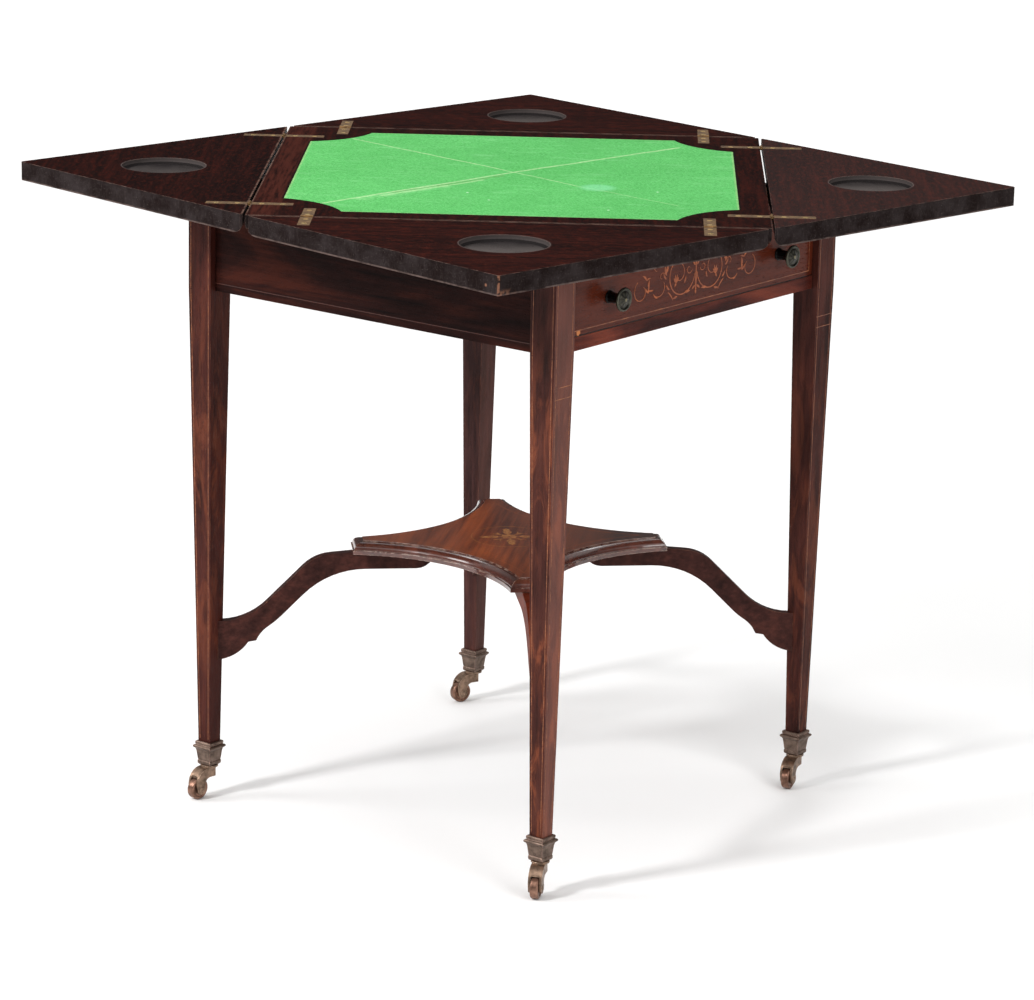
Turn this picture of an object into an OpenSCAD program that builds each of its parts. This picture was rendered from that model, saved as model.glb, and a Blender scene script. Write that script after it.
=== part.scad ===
// Envelope games table. A square board carries four triangular leaves on brass strap hinges and
// turns on a bolt, so that the open leaves rest on the corners of a drawer frame. Four tapered
// legs, braced by curved stretchers under a concave shelf, stand in square castor cups.
// All sizes are in millimetres. The origin is on the floor under the bolt, Z is up and the
// drawer faces -Y. The board is drawn open and turned as it stands in use.

/* [Top] */
// Height of the playing surface above the floor
table_h = 728; // [690:1:770]
// Distance between opposite hinge lines of the top
top_side = 560; // [540:1:600]
// Thickness of the board and of the leaves
top_t = 21; // [19:0.5:25]
// Gap between the board and each leaf
seam_gap = 3.2; // [2.4:0.1:4]
// Angle by which the open top stands short of the frame's diagonals
top_turn = 8.45; // [0:0.05:12]
// Gap that the closed leaves leave between their slanted edges
leaf_gap = 2; // [1:0.1:4]
// Radius that rounds each leaf's outer point
leaf_point_r = 2.5; // [1:0.5:8]
// Length cut from each sharp end of a leaf
leaf_end_cut = 4; // [2:0.5:8]
// Radius of the quarter round under the hinge edges
edge_round = 11; // [6:0.5:14]

/* [Counter wells] */
// Diameter of each counter well
well_d = 94; // [70:1:110]
// Depth of each counter well
well_depth = 6.5; // [5:0.5:9]
// Radius between a well's wall and its floor
well_round = 4; // [2:0.5:4.5]
// Distance from the bolt to the middle of each well
well_place = 397; // [380:1:405]

/* [Baize] */
// Width of the baize field
baize_w = 492; // [460:1:500]
// Thickness of the baize
baize_t = 1; // [0.6:0.1:1.5]
// Radius of the hollow corners of the baize field
baize_corner = 98; // [85:1:110]
// Distance of the hollow corners' middles beyond the hinges, measured along both sides
corner_out = 60; // [50:1:70]

/* [Hinges] */
// Length of one hinge strap from the hinge line
strap_len = 47; // [40:1:55]
// Width of the hinges
strap_w = 13; // [11:0.5:16]
// Thickness of the hinge straps
strap_t = 2; // [1.6:0.1:2.5]
// Distance of each hinge from the middle of its leaf
hinge_place = 213; // [190:1:225]
// Outer radius of the hinge barrels
barrel_r = 1.7; // [1.5:0.1:2.2]
// Radius of the hinge pins
pin_r = 0.8; // [0.6:0.1:1]
// Radius of the hinge screw heads
screw_head_r = 3; // [2.5:0.1:3.4]
// Radius of the hinge screws' shanks
screw_r = 1.6; // [1.2:0.1:1.9]
// Length of the hinge screws
screw_len = 12; // [10:0.5:14]
// Distances of each strap's two screws from the hinge line
screw_places = [13, 36]; // [8:0.5:42]

/* [Frame] */
// Distance between the middles of neighbouring legs
leg_pitch = 486; // [460:1:510]
// Width of the legs at the frieze
leg_w = 33; // [30:0.5:38]
// Width of the legs where they enter the castor cups
leg_foot_w = 17.6; // [16:0.2:18.4]
// Height of the frieze
frieze_h = 107; // [95:1:120]
// Thickness of the frieze rails
frieze_t = 19; // [15:0.5:22]
// Setback of the frieze behind the faces of the legs
frieze_set = 8; // [6:0.5:10]
// Thickness of the rails above and below the drawer, and of the pivot rail
rail_t = 15; // [12:0.5:18]
// Width of the drawer rail and of the rail above the drawer
rail_w = 25; // [20:1:30]
// Width of the pivot rail
pivot_rail_w = 70; // [60:1:90]
// Width of the drawer runners and kickers
runner_w = 32; // [26:1:40]
// Length of the tenons that enter the legs
tenon_len = 11; // [6:0.5:11]
// Thickness of the tenons
tenon_t = 7; // [5:0.5:8]

/* [Pivot] */
// Radius of the pivot bolt
bolt_r = 6; // [5:0.5:8]
// Radius of the bolt's head under the baize
bolt_head_r = 13; // [11:0.5:16]
// Height of the bolt's head
bolt_head_t = 4; // [3:0.5:5]
// Radius of the washer under the pivot rail
washer_r = 14; // [12:0.5:18]
// Thickness of the washer
washer_t = 2; // [1.5:0.1:3]
// Width of the nut across its flats
nut_w = 19; // [17:0.5:22]
// Height of the nut
nut_t = 7; // [5:0.5:9]
// Radius of the stop peg under the board
peg_r = 6; // [5:0.5:8]
// Length of the stop peg
peg_len = 14; // [10:0.5:15]
// Distance from the bolt to the stop peg
peg_place = 190; // [180:1:200]
// Width of the stop block
stop_w = 20; // [14:1:30]
// Play of the stop peg at each end of its travel
stop_play = 0.3; // [0.2:0.05:0.6]
// Angle through which the top turns
swivel_range = 45; // [40:1:50]

/* [Drawer] */
// Length of the drawer from front to back
drawer_len = 420; // [380:1:450]
// Thickness of the drawer front
front_t = 19; // [16:0.5:22]
// Thickness of the drawer's sides and back
side_t = 10; // [8:0.5:12]
// Thickness of the drawer's bottom
bottom_t = 6; // [5:0.5:7]
// Height of the drawer's bottom above the lower edges of its sides
bottom_lift = 6; // [5:0.5:9]
// Depth of the grooves that hold the drawer's bottom
groove = 5; // [3:0.5:6]
// Height by which the drawer's back stays below its sides
back_drop = 25; // [20:1:35]
// Number of dovetails at each front corner of the drawer
tails = 3; // [2:1:4]
// Length of the dovetails
tail_len = 13; // [9:0.5:14]
// Distance between the two knobs
knob_pitch = 314; // [260:1:340]
// Diameter of the knobs
knob_d = 26; // [22:0.5:32]
// Length of the knobs in front of the drawer
knob_len = 23; // [19:0.5:27]
// Radius of the knobs' stems
knob_stem_r = 6; // [5:0.1:6.8]
// Radius of the knobs' spigots
spigot_r = 3; // [2.5:0.1:4]

/* [Shelf] */
// Height of the shelf's surface above the floor
shelf_h = 306; // [280:1:340]
// Thickness of the shelf
shelf_t = 14; // [11:0.5:16]
// Distance from the middle to the shelf's cut corners
shelf_reach = 181; // [176:1:200]
// Distance from the middle to the hollow sides
shelf_waist = 103; // [95:1:115]
// Radius of the hollow sides
shelf_hollow_r = 190; // [170:1:210]
// Width of the moulding round the shelf
shelf_mould = 12.5; // [10:0.5:15]

/* [Stretchers] */
// Thickness of the stretchers
stretcher_t = 11; // [9:0.5:16]
// Distance from the middle to the stretchers' inner ends
stretcher_start = 86; // [70:1:100]
// Depth of the stretchers under the shelf
stretcher_depth = 21; // [18:0.5:26]
// Depth of the stretchers square to their slanting stretch
slant_depth = 23.5; // [20:0.5:27]
// Distance from the middle at which the stretchers leave the shelf
stretcher_knee = 172; // [160:1:180]
// Angle at which the stretchers leave the shelf
knee_angle = 5; // [2:0.5:9]
// Height by which the stretchers fall to the legs
stretcher_fall = 81; // [70:1:90]
// Distance from the middle to the lowest point of the stretchers' upper edge
foot_place = 331.5; // [322:0.5:340]
// Radius of the upper bend in the stretchers' upper edge
bend_r = 50; // [40:1:60]
// Radius of the lower bend in the stretchers' upper edge
low_bend_r = 75; // [62:1:84]
// Radius of the upper bend in the stretchers' lower edge
under_r = 100; // [85:1:112]
// Depth of the stretchers at the legs
stretcher_foot = 45; // [42:0.5:52]
// Radius of the rounded lobe beside each leg
lobe_r = 46; // [42:1:52]
// Width of the lobe
lobe_w = 29; // [24:0.5:32]
// Angle at which the lobe meets the leg
lobe_angle = 12; // [6:1:18]
// Width of the small step between the lobe and the stretcher's curve
cusp_w = 9; // [6:0.5:12]
// Width of the rounding that leads from the stretcher's curve to the step
ogee_w = 14; // [10:0.5:18]

/* [Castors] */
// Diameter of the wheels
wheel_d = 25; // [22:0.5:27]
// Width of the wheels
wheel_w = 9.4; // [8:0.2:11]
// Distance of each wheel's axle from its upright pin
trail = 18.5; // [16.5:0.5:21]
// Height of the forks
fork_h = 35.8; // [34:0.2:39]
// Height of the underside of the forks' necks
neck_h = 24.5; // [22:0.5:26]
// Thickness of the fork's cheeks
cheek_t = 2.6; // [2:0.1:3.4]
// Radius of the cheeks round the axle
cheek_r = 6.1; // [5:0.1:7]
// Radius of the axles
axle_r = 2; // [1.6:0.1:2.5]
// Radius of the bright disc on each fork
disc_r = 10.3; // [9:0.1:11]
// Thickness of the bright disc
disc_t = 2.1; // [1.5:0.1:3]
// Radius of the upright pins
stem_r = 3; // [2.4:0.1:3.6]
// Height of the castor cups
cup_h = 28.4; // [26:0.2:34]
// Thickness of the cups' floor
cup_floor = 8; // [7:0.5:10]
// Width of the cups' moulded rim
cup_rim_w = 27; // [25:0.5:31]
// Width of the cups' foot
cup_foot_w = 19; // [18:0.5:21]
// Directions in which the four wheels trail
castor_turn = [205, 192, 158, 176]; // [0:1:360]

/* [Clearances] */
// Gap between the top and the frame
top_clear = 0.4; // [0.2:0.05:0.8]
// Height of the hinge axis above the playing surface
hinge_lift = 0.15; // [0.1:0.01:0.3]
// Gap round pieces let into wood
recess_clear = 0.1; // [0.05:0.01:0.2]
// Radial play of pins and bolts that turn
run_clear = 0.05; // [0.02:0.01:0.09]
// Gap between knuckles, and between a wheel and its cheeks
side_clear = 0.3; // [0.2:0.05:0.5]
// Gap beside and above the drawer
drawer_gap = 1; // [0.5:0.1:1.5]
// Gap between the drawer and what it runs on or stops against
slide_gap = 0.3; // [0.2:0.05:0.5]
// Gap between pieces that seat on slanted or round faces
seat_clear = 0.05; // [0.02:0.01:0.1]

/* [Hidden] */
$fn = 72;

// Corners of the frame: front left, front right, back right, back left
corners = [[-1, -1], [1, -1], [1, 1], [-1, 1]];
// Directions of the leaves' points: back, left, front, right as the open table stands
leaf_turn = [for (i = [0:3]) 45 - top_turn + 90 * i];

frame_top = table_h - top_t - top_clear;
frieze_low = frame_top - frieze_h;
leg_axis = leg_pitch / 2;
leg_inner = leg_axis - leg_w / 2;
frieze_face = leg_axis + leg_w / 2 - frieze_set;
frieze_inner = frieze_face - frieze_t;
rail_top = frieze_low + rail_t;
upper_rail_low = frame_top - rail_t;

axle_z = wheel_d / 2;
cup_low = fork_h + disc_t + recess_clear;
cup_top = cup_low + cup_h;
leg_foot = cup_low + cup_floor;

board_w = top_side - seam_gap;
leaf_point = top_side - leaf_gap / sqrt(2);
leaf_depth = leaf_point - top_side / 2 - seam_gap / 2;
leaf_half = board_w / 2 - leaf_end_cut;
hinge_z = table_h + hinge_lift;
strap_gap = barrel_r + 2 * side_clear;

drawer_half = leg_inner - drawer_gap;
drawer_low = rail_top + slide_gap;
drawer_top = upper_rail_low - drawer_gap;
side_inner = drawer_half - side_t;
drawer_end = -frieze_face + drawer_len;
floor_low = drawer_low + bottom_lift;
knob_z = (drawer_low + drawer_top) / 2 - 3.5;
guide_inner = frieze_inner - runner_w;

shelf_low = shelf_h - shelf_t;
hollow_place = shelf_waist + shelf_hollow_r;
// Distance from the middle to the legs' inner arrises at the height where the stretchers end
leg_arris = sqrt(2) * (leg_inner + (leg_w - leg_foot_w) / 2
    * (frieze_low - shelf_low + stretcher_fall) / (frieze_low - cup_top));

peg_angle = -asin((pivot_rail_w / 2 + peg_r + stop_play) / peg_place) - top_turn;
peg_stop_angle = peg_angle + top_turn - swivel_range;

// Points along a round stretch about c, from angle a to angle b
function arc(c, r, a, b, n = 8) =
    [for (k = [0:n]) c + r * [cos(a + (b - a) * k / n), sin(a + (b - a) * k / n)]];

// Direction of a vector, in degrees
function heading(v) = atan2(v.y, v.x);

// A solid with the same outline across X and across Y, as a square moulding has
module square_turned(width)
{
    intersection()
    {
        rotate([90, 0, 0])
            linear_extrude(width, center = true) children();
        rotate([90, 0, 90])
            linear_extrude(width, center = true) children();
    }
}

// Outline of a leg seen square on, drawn about its axis, grown on every side by g
module leg_outline(g = 0)
{
    slope = (leg_w - leg_foot_w) / 2 / (frieze_low - cup_top);
    foot = leg_foot_w / 2 - slope * (cup_top - leg_foot) + g;
    head = leg_w / 2 + g;
    polygon([[-foot, leg_foot], [foot, leg_foot], [head, frieze_low], [head, frame_top],
        [-head, frame_top], [-head, frieze_low]]);
}

module leg_solid(i, g = 0)
{
    translate([corners[i].x * leg_axis, corners[i].y * leg_axis, 0])
        square_turned(leg_w * 2) leg_outline(g);
}

module leg(i)
{
    color("#5a2319")
        difference()
        {
            leg_solid(i);
            for (turn = [90, 180, 270]) rotate([0, 0, turn]) frieze_tenons(recess_clear);
            for (z = [frieze_low, upper_rail_low]) front_rail_tenons(z, recess_clear);
        }
}

// Tenons at both ends of a rail along X, between the given Y and Z, grown on every side by g
module tenons(y, z, g)
{
    for (side = [0, 1])
        mirror([side, 0, 0])
            translate([leg_inner - 1, y[0] - g, z[0] - g])
                cube([tenon_len + 1 + g, y[1] - y[0] + 2 * g, z[1] - z[0] + 2 * g]);
}

module frieze_tenons(g = 0)
{
    y = (frieze_t + tenon_t) / 2 - frieze_face;
    tenons([y - tenon_t, y], [rail_top + 5, upper_rail_low - 5], g);
}

module front_rail_tenons(z, g = 0)
{
    y = rail_w - frieze_face;
    shoulder = (rail_t - tenon_t) / 2;
    tenons([y - rail_w + 5, y - 5], [z + shoulder, z + rail_t - shoulder], g);
}

// Frieze rail, drawn on the front and turned to its side
module frieze(turn)
{
    color("#4a1c15")
        rotate([0, 0, turn])
        {
            translate([-leg_inner, -frieze_face, frieze_low])
                cube([2 * leg_inner, frieze_t, frieze_h]);
            frieze_tenons();
        }
}

// Rail above or below the drawer
module front_rail(z)
{
    color("#4a1c15")
    {
        translate([-leg_inner, -frieze_face, z]) cube([2 * leg_inner, rail_w, rail_t]);
        front_rail_tenons(z);
    }
}

module pivot_rail()
{
    color("#8a5a3a")
        difference()
        {
            translate([-frieze_inner, -pivot_rail_w / 2, upper_rail_low])
                cube([2 * frieze_inner, pivot_rail_w, rail_t]);
            translate([0, 0, upper_rail_low - 1]) cylinder(r = bolt_r + run_clear, h = rail_t + 2);
        }
}

// Runners that carry the drawer, each with the stop that ends its travel inwards
module drawer_runners()
{
    stop_h = bottom_lift + side_t / 2;
    color("#8a5a3a")
        for (side = [0, 1])
            mirror([side, 0, 0])
            {
                translate([guide_inner, rail_w - frieze_face, frieze_low])
                    cube([runner_w, leg_inner + frieze_face - rail_w, rail_t]);
                translate([side_inner, drawer_end + slide_gap, rail_top])
                    cube([side_t, side_t, stop_h]);
            }
}

// Kickers above the drawer, in front of and behind the pivot rail
module drawer_kickers()
{
    front_end = rail_w - frieze_face;
    color("#8a5a3a")
        for (side = [0, 1])
            mirror([side, 0, 0])
            {
                translate([guide_inner, front_end, upper_rail_low])
                    cube([runner_w, -pivot_rail_w / 2 - front_end, rail_t]);
                translate([guide_inner, pivot_rail_w / 2, upper_rail_low])
                    cube([runner_w, leg_inner - pivot_rail_w / 2, rail_t]);
            }
}

// Block behind the front rail that stops the peg when the top stands square to the frame
module swivel_stop()
{
    peg_x = peg_place * cos(peg_stop_angle);
    peg_y = peg_place * sin(peg_stop_angle);
    back = rail_w - frieze_face;
    color("#8a5a3a")
        translate([peg_x - peg_r - stop_play - stop_w, back, upper_rail_low])
            cube([stop_w, peg_y + peg_r - back, rail_t]);
}

// Drawer
module drawer_groove()
{
    translate([-side_inner - groove, -frieze_face + front_t - groove, floor_low])
        cube([2 * (side_inner + groove), drawer_len, bottom_t + recess_clear]);
}

// Dovetails by which a drawer side enters the front, stopped short of its face
module dovetails(side, g = 0)
{
    pitch = (drawer_top - drawer_low) / tails;
    root = pitch * 0.55 / 2;
    tip = pitch * 0.75 / 2;
    for (k = [0:tails - 1])
        translate([side > 0 ? side_inner - g : -drawer_half - g, front_t - frieze_face,
            drawer_low + pitch * (k + 0.5)])
            rotate([90, 0, 90])
                linear_extrude(side_t + 2 * g)
                    polygon([[0, -root - g], [0, root + g], [-tail_len - g, tip + g],
                        [-tail_len - g, -tip - g]]);
}

module drawer_front()
{
    color("#6b2c1c")
        difference()
        {
            translate([-drawer_half, -frieze_face, drawer_low])
                cube([2 * drawer_half, front_t, drawer_top - drawer_low]);
            drawer_groove();
            for (side = [-1, 1]) dovetails(side, recess_clear);
            for (side = [-1, 1])
                translate([side * knob_pitch / 2, -frieze_face - 1, knob_z])
                    rotate([-90, 0, 0]) cylinder(r = spigot_r + seat_clear, h = front_t + 2);
        }
}

module drawer_side(side)
{
    color("#9a6a45")
        difference()
        {
            union()
            {
                translate([side > 0 ? side_inner : -drawer_half, -frieze_face + front_t,
                    drawer_low])
                    cube([side_t, drawer_len - front_t, drawer_top - drawer_low]);
                dovetails(side);
            }
            drawer_groove();
        }
}

module drawer_back()
{
    low = floor_low + bottom_t + recess_clear;
    color("#9a6a45")
        translate([-side_inner, drawer_end - side_t, low])
            cube([2 * side_inner, side_t, drawer_top - back_drop - low]);
}

module drawer_bottom()
{
    start = -frieze_face + front_t - groove + recess_clear;
    color("#a87a52")
        translate([-side_inner - groove + recess_clear, start, floor_low])
            cube([2 * (side_inner + groove - recess_clear), drawer_end - start, bottom_t]);
}

// A turned knob along +Z: stem, flared back, rim and raised boss
module knob()
{
    r = knob_d / 2;
    rotate_extrude()
        polygon(concat([[0, -front_t], [spigot_r, -front_t], [spigot_r, 0],
            [knob_stem_r + 1, 0], [knob_stem_r + 1, 1.2], [knob_stem_r, 2.2],
            [knob_stem_r - 0.6, knob_len * 0.45], [knob_stem_r + 1, knob_len * 0.62]],
            arc([r - 1.8, knob_len - 3.4], 1.8, -50, 90, 6),
            [[r - 2.9, knob_len - 2.3], [r - 3.6, knob_len - 2.8], [r * 0.55, knob_len - 1.7]],
            [[r * 0.3, knob_len - 0.9], [r * 0.26, knob_len - 0.4], [r * 0.14, knob_len],
            [0, knob_len]]));
}

module drawer_knobs()
{
    color("#2b2a22")
        for (side = [-1, 1])
            translate([side * knob_pitch / 2, -frieze_face, knob_z]) rotate([90, 0, 0]) knob();
}

// Shelf. The moulding's inset is given from its outermost face, with its height above the
// shelf's underside.
shelf_quirk = 1.5;
shelf_lip = 4.5;
shelf_step = 1.5;
shelf_profile = concat([[0, -1], [0, shelf_lip], [shelf_quirk, shelf_lip]],
    [for (k = [1:8]) [shelf_quirk + (shelf_mould - shelf_step - shelf_quirk) * (1 - cos(k * 11.25)),
        shelf_lip + (shelf_t - shelf_step - shelf_lip) * sin(k * 11.25)]],
    [[shelf_mould, shelf_t - shelf_step], [shelf_mould, shelf_t + 1]]);

module shelf()
{
    outer = shelf_hollow_r + shelf_mould + 1;
    color("#6a2f1a")
        difference()
        {
            translate([-shelf_reach, -shelf_reach, shelf_low])
                cube([2 * shelf_reach, 2 * shelf_reach, shelf_t]);
            for (i = [0:3])
            {
                rotate([0, 0, 90 * i])
                    translate([hollow_place, 0, shelf_low])
                        rotate_extrude($fn = 144)
                            polygon(concat([[0, -1]], [for (q = shelf_profile)
                                [shelf_hollow_r + q.x, q.y]], [[0, shelf_t + 1]]));
                rotate([0, 0, 45 + 90 * i])
                    translate([0, 0, shelf_low])
                        rotate([90, 0, 0])
                            linear_extrude(shelf_reach, center = true)
                                polygon(concat([for (q = shelf_profile)
                                    [shelf_reach - q.x, q.y]],
                                    [[2 * shelf_reach, shelf_t + 1], [2 * shelf_reach, -1]]));
            }
        }
}

// Stretcher, drawn along X outwards from the middle. Its slanting stretch falls at 45 degrees,
// and along the upper edge of that stretch x + z is slant.
module stretcher_outline()
{
    foot_z = shelf_low - stretcher_fall;
    low_bend = [foot_place, foot_z + low_bend_r];
    slant = foot_place + foot_z - (sqrt(2) - 1) * low_bend_r;
    dip = tan(knee_angle);
    bend_start = (slant - shelf_low - dip * stretcher_knee
        + bend_r * (cos(knee_angle) + sin(knee_angle) - sqrt(2))) / (1 - dip);
    up_bend = [bend_start - bend_r * sin(knee_angle),
        shelf_low - dip * (bend_start - stretcher_knee) - bend_r * cos(knee_angle)];
    under_z = shelf_low - stretcher_depth;
    under_start = slant - sqrt(2) * slant_depth - under_z - (sqrt(2) - 1) * under_r;
    end_x = leg_arris + stretcher_t / 2 + 3;
    lobe = [leg_arris + lobe_r * sin(lobe_angle),
        foot_z - stretcher_foot + lobe_r * cos(lobe_angle)];
    lobe_start = asin((lobe.x - leg_arris + lobe_w) / lobe_r);
    cusp = lobe - lobe_r * [sin(lobe_start), cos(lobe_start)] + [-cusp_w, 1.5];
    under_bend = low_bend_r + slant_depth;
    ogee_turn = asin((foot_place - cusp.x + ogee_w) / under_bend);
    ogee_in = [-sin(ogee_turn), -cos(ogee_turn)];
    ogee_start = low_bend + under_bend * ogee_in;
    reach = cusp - ogee_start;
    ogee_r = (reach * reach) / (2 * (reach * ogee_in));
    ogee = ogee_start + ogee_r * ogee_in;
    polygon(concat(
        arc([stretcher_start + stretcher_depth, shelf_low], stretcher_depth, 180, 270, 6),
        arc([under_start, under_z - under_r], under_r, 90, 45, 8),
        arc(low_bend, under_bend, 225, 270 - ogee_turn, 4),
        arc(ogee, ogee_r, 90 - ogee_turn, heading((cusp - ogee) / ogee_r), 5),
        arc(lobe, lobe_r, 270 - lobe_start, 270 - asin((lobe.x - end_x) / lobe_r), 8),
        arc(low_bend, low_bend_r, 270 - asin((foot_place - end_x) / low_bend_r), 225, 8),
        arc(up_bend, bend_r, 45, 90 - knee_angle, 6),
        [[stretcher_knee, shelf_low]]));
}

module stretcher(i)
{
    color("#4e1d16")
        difference()
        {
            rotate([0, 0, heading(corners[i])])
                rotate([90, 0, 0])
                    linear_extrude(stretcher_t, center = true) stretcher_outline();
            leg_solid(i, seat_clear);
        }
}

// Top. Quarter round along the lower edge x = 0, over a length of 2 * half
module edge_cutter(half)
{
    rotate([90, 0, 0])
        linear_extrude(2 * half + 2, center = true)
            difference()
            {
                translate([-1, -1]) square([edge_round + 1, edge_round + 1]);
                translate([edge_round, edge_round]) circle(edge_round);
            }
}

// Field of the baize, with hollow corners, grown on every side by g
module baize_outline(g = 0)
{
    w = baize_w + 2 * g;
    difference()
    {
        square(w, center = true);
        for (c = corners)
            translate(c * (hinge_place + corner_out)) circle(baize_corner - g, $fn = 144);
    }
}

// Places children at both hinges of leaf i, with the hinge axis along Y through the origin
// and the leaf towards +X
module at_hinges(i)
{
    rotate([0, 0, leaf_turn[i]])
        for (side = [-1, 1])
            translate([top_side / 2, side * hinge_place, hinge_z]) children();
}

// Room for the barrel and for one strap; way is 1 on the leaf and -1 on the board
module hinge_room(way)
{
    w = strap_w + 2 * recess_clear;
    rotate([90, 0, 0])
        cylinder(r = barrel_r + side_clear, h = w, center = true);
    translate([way > 0 ? 0 : -strap_len - recess_clear, -w / 2, -hinge_lift - strap_t])
        cube([strap_len + recess_clear, w, strap_t + 1]);
    for (x = screw_places)
        translate([way * x, 0, -hinge_lift - screw_len - 1])
            cylinder(r = screw_r + seat_clear, h = screw_len);
}

// One strap, its knuckles and its countersunk holes
module strap(way)
{
    knuckle = (strap_w - 2 * side_clear) / 3;
    parts = way > 0 ? [0] : [-1, 1];
    difference()
    {
        union()
        {
            translate([way > 0 ? strap_gap : -strap_len, -strap_w / 2, -hinge_lift - strap_t])
                cube([strap_len - strap_gap, strap_w, strap_t]);
            for (p = parts)
                translate([0, p * (knuckle + side_clear), 0])
                {
                    rotate([90, 0, 0]) cylinder(r = barrel_r, h = knuckle, center = true);
                    translate([way > 0 ? 0 : -strap_gap - 1, -knuckle / 2, -hinge_lift - strap_t])
                        cube([strap_gap + 1, knuckle, strap_t]);
                }
        }
        rotate([90, 0, 0])
            cylinder(r = pin_r + (way > 0 ? run_clear : seat_clear), h = strap_w * 2, center = true);
        for (x = screw_places)
            translate([way * x, 0, -hinge_lift - strap_t])
            {
                translate([0, 0, -1]) cylinder(r = screw_r + seat_clear, h = strap_t + 2);
                translate([0, 0, strap_t / 2])
                    cylinder(r = screw_head_r + seat_clear, h = strap_t);
            }
    }
}

module hinge_screws(way)
{
    for (x = screw_places)
        translate([way * x, 0, -hinge_lift])
        {
            translate([0, 0, -strap_t / 2]) cylinder(r = screw_head_r, h = strap_t / 2);
            translate([0, 0, -screw_len]) cylinder(r = screw_r, h = screw_len - strap_t / 4);
        }
}

module top_board()
{
    color("#4a1a13")
        difference()
        {
            translate([0, 0, table_h - top_t])
                rotate([0, 0, leaf_turn[0]])
                    translate([-board_w / 2, -board_w / 2, 0]) cube([board_w, board_w, top_t]);
            for (i = [0:3])
                rotate([0, 0, leaf_turn[i]])
                    translate([-board_w / 2, 0, table_h - top_t]) edge_cutter(board_w / 2);
            translate([0, 0, table_h - baize_t])
                rotate([0, 0, leaf_turn[0]])
                    linear_extrude(baize_t + 1) baize_outline(recess_clear);
            translate([0, 0, table_h - top_t - 1]) cylinder(r = bolt_r + seat_clear, h = top_t);
            translate([0, 0, table_h - baize_t - bolt_head_t])
                cylinder(r = bolt_head_r + seat_clear, h = bolt_head_t + 1);
            rotate([0, 0, peg_angle])
                translate([peg_place, 0, table_h - top_t - 1])
                    cylinder(r = peg_r + seat_clear, h = top_t / 2 + 1);
            for (i = [0:3]) at_hinges(i) hinge_room(-1);
        }
}

module baize()
{
    color("#3f9a4a")
        translate([0, 0, table_h - baize_t])
            rotate([0, 0, leaf_turn[0]]) linear_extrude(baize_t) baize_outline();
}

// Bolt on which the top turns, with its head let into the board under the baize
module pivot_bolt()
{
    low = upper_rail_low - washer_t - nut_t - 1.5;
    color("#8f8f8a")
        union()
        {
            translate([0, 0, low]) cylinder(r = bolt_r, h = table_h - baize_t - low);
            translate([0, 0, table_h - baize_t - bolt_head_t])
                cylinder(r = bolt_head_r, h = bolt_head_t);
        }
}

module pivot_nut()
{
    color("#8f8f8a")
        difference()
        {
            union()
            {
                translate([0, 0, upper_rail_low - recess_clear - washer_t])
                    cylinder(r = washer_r, h = washer_t);
                translate([0, 0, upper_rail_low - recess_clear - washer_t - nut_t])
                    cylinder(d = nut_w / cos(30), h = nut_t + 0.01, $fn = 6);
            }
            translate([0, 0, upper_rail_low - washer_t - nut_t - 2])
                cylinder(r = bolt_r + seat_clear, h = washer_t + nut_t + 4);
        }
}

// Peg under the board that ends the top's turning
module stop_peg()
{
    color("#8a5a3a")
        rotate([0, 0, peg_angle])
            translate([peg_place, 0, table_h - top_t - peg_len])
                cylinder(r = peg_r, h = peg_len + top_t / 2 - 1);
}

// Leaf, drawn with its hinge edge on x = 0 and its point towards +X, top face at z = 0
module leaf_outline()
{
    tip = leaf_point_r * sqrt(2);
    flat = leaf_point_r / sqrt(2);
    shoulder = leaf_depth - leaf_half;
    polygon(concat([[0, leaf_half], [0, -leaf_half], [shoulder, -leaf_half]],
        arc([leaf_depth - tip, 0], leaf_point_r, -45, 45, 8),
        [[shoulder, leaf_half]]));
}

module leaf(i)
{
    well_x = well_place - top_side / 2 - seam_gap / 2;
    color("#3a1410")
        difference()
        {
            rotate([0, 0, leaf_turn[i]])
                translate([top_side / 2 + seam_gap / 2, 0, table_h])
                    difference()
                    {
                        translate([0, 0, -top_t]) linear_extrude(top_t) leaf_outline();
                        translate([0, 0, -top_t]) edge_cutter(leaf_half);
                        translate([well_x, 0, 0]) well();
                    }
            at_hinges(i) hinge_room(1);
        }
}

// Hollow of a counter well below z = 0, with a fillet round its floor
module well()
{
    r = well_d / 2;
    rotate_extrude()
        union()
        {
            translate([0, well_round - well_depth]) square([r, well_depth - well_round + 1]);
            translate([0, -well_depth]) square([r - well_round, well_depth + 1]);
            translate([r - well_round, well_round - well_depth]) circle(well_round, $fn = 32);
        }
}

module leaf_straps(i)
{
    color("#c9a44a") at_hinges(i) strap(1);
}

module leaf_screws(i)
{
    color("#d8bd6a") at_hinges(i) hinge_screws(1);
}

module board_straps()
{
    color("#c9a44a") for (i = [0:3]) at_hinges(i) strap(-1);
}

module board_screws()
{
    color("#d8bd6a") for (i = [0:3]) at_hinges(i) hinge_screws(-1);
}

module hinge_pins()
{
    color("#b08c3a")
        for (i = [0:3])
            at_hinges(i)
                rotate([90, 0, 0]) cylinder(r = pin_r, h = strap_w, center = true);
}

// Castors
module at_castor(i)
{
    translate([corners[i].x * leg_axis, corners[i].y * leg_axis, 0]) children();
}

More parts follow.
